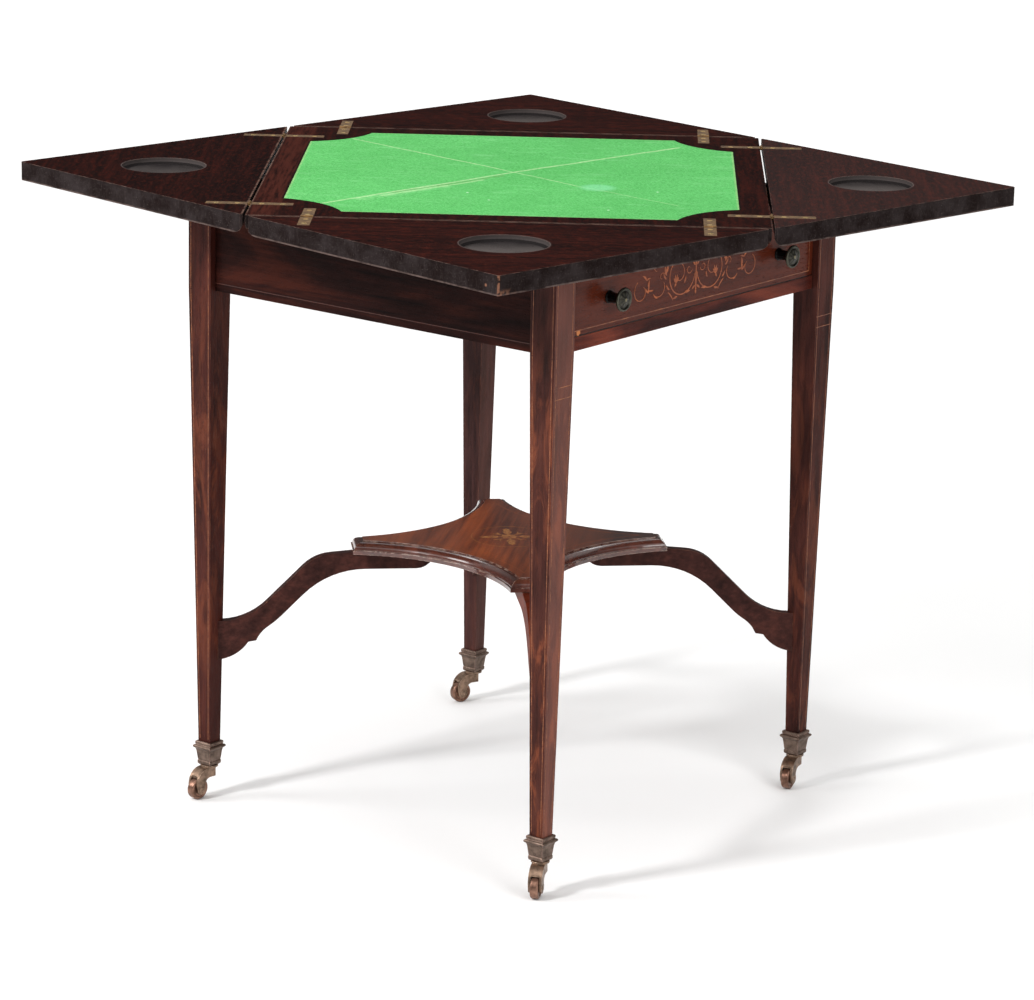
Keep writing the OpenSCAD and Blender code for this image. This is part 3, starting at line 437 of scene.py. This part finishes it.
def baize_look():
    """Woollen cloth: fine nap, two worn pale creases from corner to corner, stains and a pale cut rim."""
    look = Look("green_baize", 0.95, 0.05)
    look.set(Sheen_Weight=0.12, Sheen_Roughness=0.5, Sheen_Tint=srgb(190, 255, 200))
    nap = look.noise(look.place, 1100, 3, 0.8)
    tuft = look.noise(look.place, 330, 4, 0.75)
    patch = look.noise(look.place, 9, 4, 0.6)
    colour = look.mix(look.step(patch, 0.3, 0.7), srgb(58, 154, 66), srgb(76, 172, 84))
    colour = look.cover(colour, srgb(118, 206, 122), look.step(nap, 0.40, 0.60), 0.7)
    colour = look.cover(colour, srgb(44, 136, 54), look.step(tuft, 0.48, 0.60), 0.62)
    streak = look.noise(look.turned((0, 0, LEAF_TURNS["back"]), (1, 5, 1)), 90, 4, 0.7)
    colour = look.cover(colour, srgb(124, 200, 128), look.step(streak, 0.52, 0.7), 0.4)
    u, v, _ = look.parts(look.turned((0, 0, LEAF_TURNS["back"])))
    wobble = look.product(look.math("SUBTRACT", look.noise(look.place, 16, 4, 0.6), 0.5), 0.010)
    v_bent = look.math("ADD", v, wobble)
    fray = look.step(look.noise(look.place, 260, 4, 0.75), 0.38, 0.62)
    fuzz = look.step(look.noise(look.place, 70, 5, 0.7), 0.35, 0.7)
    cream, stain = srgb(188, 216, 164), srgb(104, 124, 74)
    # Creases and a stain: both ends, half the width, share and tint
    for a, b, half_width, share, tint in (
            ((-0.175, 0.168), (-0.080, 0.076), 0.014, 0.45, srgb(170, 222, 160)),
            ((-0.203, 0.203), (0.015, 0.000), 0.0030, 0.72, cream),
            ((-0.150, 0.142), (-0.040, 0.036), 0.0030, 0.60, cream),
            ((0.015, 0.000), (0.199, -0.184), 0.0034, 0.70, cream),
            ((-0.130, 0.131), (-0.010, 0.013), 0.0020, 0.90, stain),
            ((0.206, 0.200), (0.031, 0.022), 0.0022, 0.70, cream),
            ((0.031, 0.022), (-0.062, -0.069), 0.0018, 0.60, cream),
            ((-0.062, -0.069), (-0.166, -0.181), 0.0015, 0.42, cream)):
        mark = look.segment(u, v_bent, a, b, half_width)
        rough = fuzz if half_width > 0.01 else look.math("MULTIPLY_ADD", fray, 0.55, 0.45)
        colour = look.cover(colour, tint, mark, rough, share)
    disc = look.vector("DISTANCE", look.joined(u, v, 0.0), (-0.070, -0.092, 0))
    colour = look.cover(colour, srgb(150, 228, 184), look.below(disc, 0.012, 0.025), 0.34)
    for x, y in ((-0.119, 0.050), (-0.200, -0.105), (-0.087, -0.158), (-0.159, 0.025)):
        fleck = look.vector("DISTANCE", look.joined(u, v, 0.0), (x, y, 0))
        colour = look.cover(colour, srgb(196, 232, 198), look.below(fleck, 0.0008, 0.0020))
    for coordinate, share in ((u, 0.25), (v, 0.3)):
        edge = look.step(look.math("ABSOLUTE", coordinate), BAIZE_HALF - 0.0028, BAIZE_HALF - 0.0012)
        rough = look.step(look.noise(look.place, 150, 4, 0.7), 0.25, 0.6)
        colour = look.cover(colour, srgb(196, 206, 150), edge, rough, share)
    return look.set(Base_Color=colour, Normal=look.bump(look.math("ADD", nap, tuft), 0.0005))


# Metals

def old_brass(name, clean, dull, roughness, edge_glow=None, metallic=0.9):
    look = Look(name, roughness, 0.5, metallic)
    tarnish = look.step(look.noise(look.place, 120, 5, 0.65), 0.25, 0.75)
    colour = look.mix(tarnish, clean, dull)
    if edge_glow:
        colour = look.cover(colour, edge_glow, look.arris(0.0008), 0.7)
    grit = look.noise(look.place, 900, 3, 0.6)
    return look.set(Base_Color=colour,
                    Roughness=look.math("MULTIPLY_ADD", tarnish, 0.2, roughness - 0.08),
                    Normal=look.bump(grit, 0.00012, look.rounded(0.0004)))


HINGE_BRASS = old_brass("hinge_brass", srgb(142, 108, 66), srgb(70, 50, 32), 0.42, srgb(176, 138, 88), metallic=0.6)
SCREW_BRASS = old_brass("screw_brass", srgb(250, 222, 150), srgb(200, 160, 96), 0.3)
BOLT_IRON = old_brass("bolt_iron", srgb(120, 118, 114), srgb(74, 70, 66), 0.45)
CUP_BRASS = old_brass("castor_cup_brass", srgb(128, 108, 96), srgb(82, 68, 60), 0.45, srgb(200, 158, 144))
FORK_BRASS = old_brass("castor_fork_brass", srgb(160, 132, 112), srgb(88, 72, 60), 0.38, srgb(214, 184, 160))
WHEEL_BRASS = old_brass("wheel_brass", srgb(160, 122, 104), srgb(92, 66, 54), 0.36)


def knob_look():
    """Dark bronze knobs: black stem, and a grey face with a paler rim, petals and a bright middle."""
    look = Look("dark_bronze", 0.4, 0.5, 0.75)
    x, y, z = look.parts(look.place)
    across = look.math("SUBTRACT", look.math("ABSOLUTE", x), KNOB_PLACE[0])
    up = look.math("SUBTRACT", z, KNOB_PLACE[1])
    radius = look.vector("LENGTH", look.joined(across, up, 0.0))
    petals = look.math("COSINE", look.product(look.math("ARCTAN2", up, across), 10.0))
    ground = look.mix(look.step(look.noise(look.place, 300, 4, 0.6), 0.35, 0.65), srgb(32, 31, 27),
                      srgb(56, 54, 46))
    flower = look.product(look.step(petals, -0.2, 0.5), look.band(radius, (0.0030, 0.0042), (0.0080, 0.0092)))
    colour = look.cover(ground, srgb(84, 81, 68), flower, 0.4)
    ring = look.band(radius, (KNOB_RADIUS - 0.0030, KNOB_RADIUS - 0.0016), (KNOB_RADIUS, KNOB_RADIUS + 0.001))
    colour = look.cover(colour, srgb(84, 83, 70), ring, 0.5)
    middle = look.below(radius, 0.0012, 0.0026)
    colour = look.cover(colour, srgb(120, 112, 88), middle)
    behind = look.step(y, KNOB_FACE + 0.0062, KNOB_FACE + 0.0072)
    colour = look.cover(colour, srgb(14, 14, 13), behind)
    return look.set(Base_Color=colour,
                    Normal=look.bump(look.math("ADD", flower, middle), 0.0004, look.rounded(0.0004)))


def shelf_look():
    """Warm, glossy shelf, darker towards its corners, with painted shade on one side and dark mouldings that carry
    a painted highlight along their arrises.
    """
    look = Look("shelf_rosewood", 0.28, 0.3, coat=1.0, coat_roughness=0.1)
    colour, height = grain(look, (0, 0, 30), srgb(84, 38, 20), srgb(154, 78, 40), srgb(204, 114, 52),
                           figure=8, flow=1.0, broad=1.0, fine=0.3, pore=0.12)
    edge_colour, _ = grain(look, (0, 0, 45), srgb(60, 30, 24), srgb(82, 43, 34), srgb(104, 56, 44), figure=24,
                           broad=0.7)
    x, y, z = look.parts(look.place)
    reach = look.math("MAXIMUM", look.math("ABSOLUTE", look.math("ADD", x, y)),
                      look.math("ABSOLUTE", look.math("SUBTRACT", x, y)))
    colour = look.cover(colour, srgb(72, 38, 30), look.step(reach, 0.10, 0.30), 0.6)
    # Darker on one side: painted shade where the top's shadow falls
    painted_shade_side = look.step(look.math("MULTIPLY_ADD", x, 0.8, look.product(y, -0.6)), -0.02, 0.14)
    colour = look.cover(colour, srgb(44, 24, 20), painted_shade_side, 0.85)
    flat = look.product(look.step(look.parts(look.facing)[2], 0.9, 0.98),
                        look.math("GREATER_THAN", z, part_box("shelf")[1].z - 0.0004))
    colour = look.mix(flat, edge_colour, colour)
    # Pale arris lines on the mouldings: painted highlight, broken in places
    lines = look.arris(0.0011, 0.03, 0.2)
    glint_breaks = look.step(look.noise(look.place, 110, 5, 0.7), 0.42, 0.58)
    colour = look.cover(colour, srgb(228, 196, 176), lines, glint_breaks, 0.9)
    return look.set(Base_Color=colour,
                    Coat_Weight=look.math("MULTIPLY_ADD", flat, -0.6, 1.0),
                    Roughness=look.math("MULTIPLY_ADD", flat, 0.08, 0.22),
                    Normal=look.bump(height, 0.00012, look.rounded(0.0006)))


def inlay(name, light, faded, lost, bare):
    """Old boxwood inlay that fades into the ground in places."""
    look = Look(name, 0.34, 0.25)
    loss = look.step(look.noise(look.place, 60, 4, 0.65), 0.40, 0.72)
    tint = look.noise(look.turned(ALONG_X, (8, 1, 1)), 500, 3, 0.6)
    colour = look.mix(look.step(tint, 0.3, 0.7), light, faded)
    return look.set(Base_Color=look.cover(colour, lost, loss, bare))


DRAWER_INLAY = inlay("drawer_inlay", srgb(178, 94, 46), srgb(144, 72, 36), srgb(110, 54, 32), 0.6)
LINE_INLAY = inlay("line_inlay", srgb(158, 98, 62), srgb(112, 62, 44), srgb(74, 34, 27), 0.9)
FRIEZE_INLAY = inlay("frieze_inlay", srgb(74, 36, 26), srgb(60, 28, 20), srgb(42, 18, 14), 0.9)
SHELF_INLAY = inlay("shelf_inlay", srgb(180, 126, 72), srgb(148, 94, 52), srgb(126, 68, 40), 0.95)
SHELF_LINE = inlay("shelf_line", srgb(150, 84, 48), srgb(132, 72, 42), srgb(118, 62, 38), 0.95)


def dress(look, *names):
    for name in names:
        nodes[name].data.materials.clear()
        nodes[name].data.materials.append(look.material)


def along_turn(turn, distance):
    """The point at a distance from the bolt in the direction of turn."""
    return Matrix.Rotation(math.radians(turn), 3, "Z") @ Vector((distance, 0, 0))


for corner in CORNERS:
    dress(LEG_WOODS[corner], "leg_" + corner)
    dress(STRETCHER_LIT_WOOD if corner == "front_left" else STRETCHER_WOOD, "stretcher_" + corner)
    dress(CUP_BRASS, "cup_" + corner)
    dress(FORK_BRASS, "fork_" + corner, "axle_" + corner)
    dress(WHEEL_BRASS, "wheel_" + corner)
dress(FRIEZE_SIDE_WOOD, "frieze_left", "frieze_right")
dress(FRIEZE_BACK_WOOD, "frieze_back")
dress(RAIL_WOOD, "front_top_rail", "drawer_rail")
dress(DRAWER_WOOD, "drawer_front")
dress(shelf_look(), "shelf")
dress(INNER_WOOD, "pivot_rail", "drawer_back", "stop_peg")
dress(INNER_WOOD_DEEP, "drawer_runners", "drawer_kickers", "swivel_stop", "drawer_side_left", "drawer_side_right",
      "drawer_bottom")
dress(top_wood("board_rosewood", LEAF_TURNS["back"], board=True, shaded=0.22), "top_board")
# Per leaf: painted shade, painted reflections on the upper face and in the well, and a rubbed point
LEAF_WEAR_AND_LIGHT = {"back": {}, "left": {"shaded": 0.3, "near_sheen": 0.45},
             "front": {"point": along_turn(LEAF_TURNS["front"], LEAF_POINT)}, "right": {"upper_sheen": 0.11}}
for leaf, angle in LEAF_TURNS.items():
    dress(top_wood("leaf_rosewood_" + leaf, angle + 90, well=along_turn(angle, WELL_PLACE), **LEAF_WEAR_AND_LIGHT[leaf]),
          "leaf_" + leaf)
    dress(HINGE_BRASS, "straps_" + leaf)
    dress(SCREW_BRASS, "screws_" + leaf)
dress(HINGE_BRASS, "board_straps", "hinge_pins")
dress(SCREW_BRASS, "board_screws")
dress(BOLT_IRON, "pivot_bolt", "pivot_nut")
dress(knob_look(), "drawer_knobs")


# Pieces of the scene's own

def piece(name, points, faces, look, body):
    mesh = bpy.data.meshes.new(name)
    mesh.from_pydata(points, [], faces)
    mesh.update()
    mesh.materials.append(look.material)
    obj = bpy.data.objects.new(name, mesh)
    scene.collection.objects.link(obj)
    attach(obj, body)
    return obj


class Inlay:
    """Flat strips let into a surface that u and v span from origin."""

    def __init__(self, origin, u, v):
        self.origin, self.u, self.v = Vector(origin), Vector(u).normalized(), Vector(v).normalized()
        self.out = self.u.cross(self.v)
        self.points, self.faces, self.count = [], [], 0

    def strip(self, path, widths, proud=0.00010):
        """A strip along path, a list of (u, v), with the width given at each point.

        Each strip stands a hair higher than the one before, so that crossing strips don't share a face.
        """
        deep, lift, lifts = 0.00012, 0.000004, 12
        n = len(path)
        height = proud + lift * (self.count % lifts)
        self.count += 1
        start = len(self.points)
        for k, (p, w) in enumerate(zip(path, widths)):
            a, b = path[max(k - 1, 0)], path[min(k + 1, n - 1)]
            du, dv = b[0] - a[0], b[1] - a[1]
            size = math.hypot(du, dv) or 1.0
            side = (-dv / size * w / 2, du / size * w / 2)
            for s, h in ((1, height), (-1, height), (-1, -deep), (1, -deep)):
                q = (p[0] + s * side[0], p[1] + s * side[1])
                self.points.append(self.origin + self.u * q[0] + self.v * q[1] + self.out * h)
        for k in range(n - 1):
            a, b = start + 4 * k, start + 4 * (k + 1)
            for i in range(4):
                j = (i + 1) % 4
                self.faces.append((a + i, b + i, b + j, a + j))
        last = start + 4 * (n - 1)
        self.faces.append(tuple(start + i for i in range(4)))
        self.faces.append(tuple(last + i for i in (3, 2, 1, 0)))

    def line(self, a, b, width):
        steps = max(2, int(math.dist(a, b) / 0.01))
        self.strip([(a[0] + (b[0] - a[0]) * k / steps, a[1] + (b[1] - a[1]) * k / steps)
                    for k in range(steps + 1)], [width] * (steps + 1))

    def scroll(self, centre, radius, start, sweep, shrink, width, flip):
        """A stem that curls inwards about centre, thick in the middle and fine at its ends."""
        n = 26
        path, widths = [], []
        for k in range(n + 1):
            t = k / n
            r = radius * (1 - (1 - shrink) * t ** 1.6)
            a = math.radians(start + sweep * t)
            path.append((centre[0] + flip * r * math.cos(a), centre[1] + r * math.sin(a)))
            widths.append(width * (0.35 + 0.65 * math.sin(math.pi * min(1, 0.15 + 0.85 * t)) ** 0.6))
        self.strip(path, widths)

    def leaf(self, base, angle, length, width, bend=0.0, flip=1):
        """A pointed leaf that grows from base in the given direction and bends along its length."""
        n = 8
        path, widths = [base], [width * 0.12]
        x, y = base
        for k in range(n):
            a = math.radians(angle + bend * k / n)
            x += flip * length / n * math.cos(a)
            y += length / n * math.sin(a)
            path.append((x, y))
            widths.append(max(width * math.sin(math.pi * ((k + 1) / n) ** 0.8), width * 0.06))
        self.strip(path, widths)

    def flower(self, centre, radius, petals, turn=0.0):
        for k in range(petals):
            a = turn + 360 * k / petals
            start = (centre[0] + radius * 0.2 * math.cos(math.radians(a)),
                     centre[1] + radius * 0.2 * math.sin(math.radians(a)))
            self.leaf(start, a, radius * 0.85, radius * 0.62)

    def build(self, name, look, body):
        return piece(name, self.points, self.faces, look, body)


def drawer_marquetry():
    """Scrolling stems, leaves and flowers, alike on both sides of the middle of the drawer front."""
    middle = 0.6525
    art = Inlay((0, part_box("drawer_front")[0].y, middle), (1, 0, 0), (0, 0, 1))
    scroll, leaf = art.scroll, art.leaf
    # A scroll's middle, radius, start, sweep, shrink and width; a leaf's base, angle, length, width and bend
    half = [(scroll, 0.028, 0.004, 0.0265, -172, 300, 0.42, 0.0015),
            (scroll, 0.033, 0.002, 0.013, 100, 200, 0.3, 0.0009)]
    half += [(leaf, 0.0365, -0.0065, a, size, 0.0026, 0)
             for a, size in ((52, 0.0075), (78, 0.0095), (104, 0.0095), (130, 0.0075), (-60, 0.005))]
    half += [(leaf, 0.0215, -0.0085, 128, 0.008, 0.0022, -40),
             (leaf, 0.0485, -0.0125, 30, 0.009, 0.0022, 40),
             (scroll, 0.0125, 0.0055, 0.0052, 190, 300, 0.3, 0.0009),
             (scroll, 0.0105, 0.0165, 0.0048, 150, -280, 0.3, 0.0009),
             (scroll, 0.066, -0.003, 0.0155, -40, -150, 0.4, 0.0010),
             (scroll, 0.070, 0.015, 0.0125, 200, -260, 0.3, 0.0010),
             (scroll, 0.100, -0.0065, 0.0125, 60, -290, 0.45, 0.0010),
             (leaf, 0.0545, 0.004, 66, 0.013, 0.0034, 30),
             (leaf, 0.0555, 0.006, 118, 0.014, 0.0034, -30),
             (leaf, 0.0545, 0.000, 40, 0.009, 0.0026, 20),
             (leaf, 0.078, -0.0085, 2, 0.010, 0.0018, 0),
             (leaf, 0.088, -0.003, 120, 0.008, 0.0024, -30),
             (leaf, 0.052, -0.0145, -150, 0.016, 0.0018, 40),
             (leaf, 0.0865, -0.0105, 84, 0.011, 0.0024, 30),
             (leaf, 0.0865, -0.0105, 34, 0.009, 0.0020, 30),
             (leaf, 0.0905, 0.004, 62, 0.010, 0.0024, -50),
             (leaf, 0.0905, 0.004, 150, 0.008, 0.0020, 40),
             (leaf, 0.0700, -0.0185, 20, 0.009, 0.0018, 30),
             (scroll, 0.0620, 0.0035, 0.0050, 160, -250, 0.3, 0.0008),
             (leaf, 0.020, -0.0195, 168, 0.010, 0.0030, 20),
             (leaf, 0.034, -0.0215, -20, 0.009, 0.0026, 20),
             (leaf, 0.046, 0.014, 75, 0.010, 0.0030, 30),
             (leaf, 0.0015, -0.0145, -25, 0.007, 0.0026, -20),
             (leaf, 0.0015, 0.008, 48, 0.009, 0.0028, 30),
             (leaf, 0.0015, 0.018, 60, 0.007, 0.0026, 30)]
    for s in (1, -1):
        for draw, x, y, *sizes in half:
            draw((s * x, y), *sizes, s)
    art.strip([(0, -0.019), (0, -0.008), (0, 0.004), (0, 0.016), (0, 0.024)],
              [0.0022, 0.0030, 0.0018, 0.0026, 0.0006])
    leaf((0, -0.019), -90, 0.005, 0.0030)
    art.build("drawer_marquetry", DRAWER_INLAY, "drawer")


def drawer_stringing():
    """A line round the drawer front."""
    low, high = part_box("drawer_front")
    lines = Inlay((0, low.y, 0), (1, 0, 0), (0, 0, 1))
    side_inset, inset = 0.0065, 0.0062
    x, z0, z1 = high.x - side_inset, low.z + inset, high.z - inset
    for a, b in (((-x, z0), (x, z0)), ((-x, z1), (x, z1)), ((-x, z0), (-x, z1)), ((x, z0), (x, z1))):
        lines.line(a, b, 0.0010)
    lines.build("drawer_stringing", LINE_INLAY, "drawer")


def frieze_stringing():
    """A line above the lower edge of each plain frieze, from leg to leg."""
    half, up = LEG_AXIS - LEG_HALF_TOP, 0.0090
    for name, u in (("frieze_left", (0, -1, 0)), ("frieze_right", (0, 1, 0)), ("frieze_back", (-1, 0, 0))):
        low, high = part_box(name)
        out = Vector(u).cross(Vector((0, 0, 1)))
        face = max(abs(low.dot(out)), abs(high.dot(out)))
        lines = Inlay(out * face, u, (0, 0, 1))
        lines.line((-half, low.z + up), (half, low.z + up), 0.0009)
        lines.build(name + "_stringing", FRIEZE_INLAY, "frame")


def leg_stringing():
    """Lines inside the edges of each outer leg face, with a double cross line under the frieze."""
    line_foot = 0.0700
    inset, foot_inset, cross_inset = 0.0033, 0.0026, 0.0006
    tilt = (LEG_HALF_TOP - LEG_HALF_FOOT) / (LEG_KNEE - LEG_FOOT)
    for corner, (sx, sy) in CORNERS.items():
        for side, u, out in (("front", (-sx, 0, 0), (0, sy, 0)), ("side", (0, sy, 0), (sx, 0, 0))):
            u, out = Vector(u), Vector(out)
            if u.cross(Vector((0, 0, 1))).dot(out) < 0:
                u = -u
            face = Vector((sx * LEG_AXIS, sy * LEG_AXIS, 0)) + out * LEG_HALF_TOP
            lines = Inlay(face + Vector((0, 0, LEG_KNEE)), u, Vector((0, 0, 1)) + out * tilt)
            for s in (-1, 1):
                lines.line((s * (LEG_HALF_TOP - inset), -0.001),
                           (s * (LEG_HALF_FOOT - foot_inset), line_foot - LEG_KNEE), 0.0008)
            for z in (0.5670, 0.5545) if side == "front" else ():
                w = LEG_HALF_TOP - tilt * (LEG_KNEE - z) - cross_inset
                lines.line((-w, z - LEG_KNEE), (w, z - LEG_KNEE), 0.0009)
            lines.build(f"leg_{corner}_stringing_{side}", LINE_INLAY, "frame")
            head = Inlay(face, u, (0, 0, 1))
            for s in (-1, 1):
                head.line((s * (LEG_HALF_TOP - inset), LEG_KNEE), (s * (LEG_HALF_TOP - inset), LEG_TOP), 0.0008)
            head.build(f"leg_{corner}_head_{side}", LINE_INLAY, "frame")


def shelf_patera():
    """A fine ring round a flower with four leafy sprays, in the middle of the shelf."""
    art = Inlay((0, 0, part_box("shelf")[1].z), (1, 0, 0), (0, 1, 0))
    turns = [math.radians(a) for a in range(0, 361, 6)]
    ring = [(0.0435 * math.cos(a), 0.0435 * math.sin(a)) for a in turns]
    art.strip(ring, [0.0007] * len(ring), 0.00006)
    art.flower((0, 0), 0.0105, 8)
    art.flower((0, 0), 0.0055, 6, 20)
    for k in range(4):
        a = 45 + 90 * k
        c, s = math.cos(math.radians(a)), math.sin(math.radians(a))
        for reach, turn, size in ((0.010, 0, 0.020), (0.012, 42, 0.012), (0.012, -42, 0.012),
                                  (0.019, 34, 0.010), (0.019, -34, 0.010), (0.025, 26, 0.008),
                                  (0.025, -26, 0.008)):
            art.leaf((reach * c, reach * s), a + turn, size, 0.0028, -turn)
        art.flower((0.030 * c, 0.030 * s), 0.0045, 5, a)
        across = math.radians(45 + a)
        for bend in (60, -60):
            art.leaf((0.011 * math.cos(across), 0.011 * math.sin(across)), 45 + a, 0.013, 0.0024, bend)
    art.build("shelf_patera", SHELF_INLAY, "frame")


def shelf_stringing():
    """A line inside each hollow side of the shelf, up to the line's corners."""
    line = Inlay((0, 0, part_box("shelf")[1].z), (1, 0, 0), (0, 1, 0))
    inset = 0.012
    reach, hollow = SHELF_CORNER - inset, SHELF_WAIST + SHELF_HOLLOW
    radius = SHELF_HOLLOW + SHELF_MOULD + inset
    for k in range(4):
        turn = Matrix.Rotation(math.radians(90 * k), 3, "Z")
        path = []
        for a in range(-60, 61, 3):
            p = Vector((hollow - radius * math.cos(math.radians(a)), radius * math.sin(math.radians(a)), 0))
            if p.x + abs(p.y) <= reach * math.sqrt(2):
                q = turn @ p
                path.append((q.x, q.y))
        line.strip(path, [0.0007] * len(path), 0.00006)
    line.build("shelf_stringing", SHELF_LINE, "frame")


def baize_outline():
    """Corners and hollows of the cloth in the board's own frame, anticlockwise, and the area inside."""
    turn = math.degrees(math.asin((HOLLOW_PLACE - BAIZE_HALF) / HOLLOW_RADIUS))
    outline = []
    for quarter in range(4):
        for k in range(17):
            a = math.radians(270 - turn - (90 - 2 * turn) * k / 16)
            x, y = HOLLOW_PLACE + HOLLOW_RADIUS * math.cos(a), HOLLOW_PLACE + HOLLOW_RADIUS * math.sin(a)
            for _ in range(quarter):
                x, y = -y, x
            outline.append((x, y))
    area = sum(a[0] * b[1] - b[0] * a[1] for a, b in zip(outline, outline[1:] + outline[:1])) / 2
    return outline, area


def baize_cloth():
    """The baize as a sheet of cloth glued into the board, in the place of its CAD solid."""
    thick, rings = 0.0009, 24
    turn = Matrix.Rotation(math.radians(LEAF_TURNS["back"]), 3, "Z")
    top, under = Vector((0, 0, TABLE_TOP)), Vector((0, 0, TABLE_TOP - thick))
    outline, area = baize_outline()
    n = len(outline)
    points = [top]
    for share in [(r / rings) ** 0.9 for r in range(1, rings + 1)]:
        points += [turn @ Vector((x * share, y * share, 0)) + top for x, y in outline]
    faces = [(0, 1 + k, 1 + (k + 1) % n) for k in range(n)]
    for r in range(rings - 1):
        start = 1 + r * n
        faces += [(start + k, start + n + k, start + n + (k + 1) % n, start + (k + 1) % n) for k in range(n)]
    edge, low = 1 + (rings - 1) * n, len(points)
    points += [turn @ Vector((x, y, 0)) + under for x, y in outline]
    faces += [(edge + k, low + k, low + (k + 1) % n, edge + (k + 1) % n) for k in range(n)]
    faces.append(tuple(low + k for k in reversed(range(n))))
    cloth = piece("baize_cloth", points, faces, baize_look(), "top")
    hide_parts("baize")


drawer_marquetry()
drawer_stringing()
frieze_stringing()
leg_stringing()
shelf_patera()
shelf_stringing()
baize_cloth()


# Stage, light and camera

def stage_floor():
    mesh = bpy.data.meshes.new("floor")
    size = 40.0
    mesh.from_pydata([(-size, -size, 0), (size, -size, 0), (size, size, 0), (-size, size, 0)], [], [(0, 1, 2, 3)])
    mesh.materials.append(Look("floor", 0.9, 0.1).set(Base_Color=(0.90, 0.90, 0.90, 1)).material)
    obj = bpy.data.objects.new("floor", mesh)
    scene.collection.objects.link(obj)


def sky():
    """Bright overhead and dark near the horizon, like a studio with a large overhead softbox."""
    low_height, top_height, low_strength, top_strength = 0.35, 1.0, 0.06, 1.75
    world = bpy.data.worlds.new("studio")
    scene.world = world
    world.use_nodes = True
    tree = world.node_tree
    background = tree.nodes["Background"]
    coordinates = tree.nodes.new("ShaderNodeTexCoord")
    split = tree.nodes.new("ShaderNodeSeparateXYZ")
    spread = tree.nodes.new("ShaderNodeMapRange")
    spread.interpolation_type = "SMOOTHSTEP"
    for socket, value in zip(list(spread.inputs)[1:5], (low_height, top_height, low_strength, top_strength)):
        socket.default_value = value
    tree.links.new(coordinates.outputs["Generated"], split.inputs[0])
    tree.links.new(split.outputs[2], spread.inputs[0])
    tree.links.new(spread.outputs[0], background.inputs["Strength"])
    background.inputs["Color"].default_value = (1.0, 0.998, 0.992, 1)


def softbox(name, place, target, size, power):
    light = bpy.data.lights.new(name, "AREA")
    light.shape, light.size, light.energy = "SQUARE", size, power
    obj = bpy.data.objects.new(name, light)
    scene.collection.objects.link(obj)
    obj.location = place
    obj.rotation_euler = (Vector(target) - Vector(place)).to_track_quat("-Z", "Y").to_euler()


def camera():
    """The photograph's view: position, heading from +X towards +Y, tilt, roll and lens from its perspective."""
    place = (-3.5188, -2.7645, 1.5454)
    heading, tilt, roll = math.radians(38.05), math.radians(-14.96), math.radians(1.2)
    data = bpy.data.cameras.new("camera")
    data.sensor_width, data.lens, data.clip_end = 36.0, 140.7, 100.0
    obj = bpy.data.objects.new("camera", data)
    obj.matrix_world = (Matrix.Translation(place)
                        @ Matrix.Rotation(heading - math.pi / 2, 4, "Z")
                        @ Matrix.Rotation(math.pi / 2 + tilt, 4, "X")
                        @ Matrix.Rotation(roll, 4, "Z"))
    scene.collection.objects.link(obj)
    scene.camera = obj


stage_floor()
sky()
softbox("key_left", (-2.9, 0.9, 2.3), (0, 0, 0.4), 0.5, 78)
softbox("back_left", (-2.0, 2.4, 1.9), (0, 0, 0.3), 1.0, 34)
softbox("backdrop", (5.5, 4.3, 5.0), (7.0, 5.5, 0), 3.0, 130)
softbox("fill_front", (-0.8, -3.2, 1.5), (0, 0, 0.4), 1.5, 38)
camera()
scene.view_settings.view_transform = "Standard"
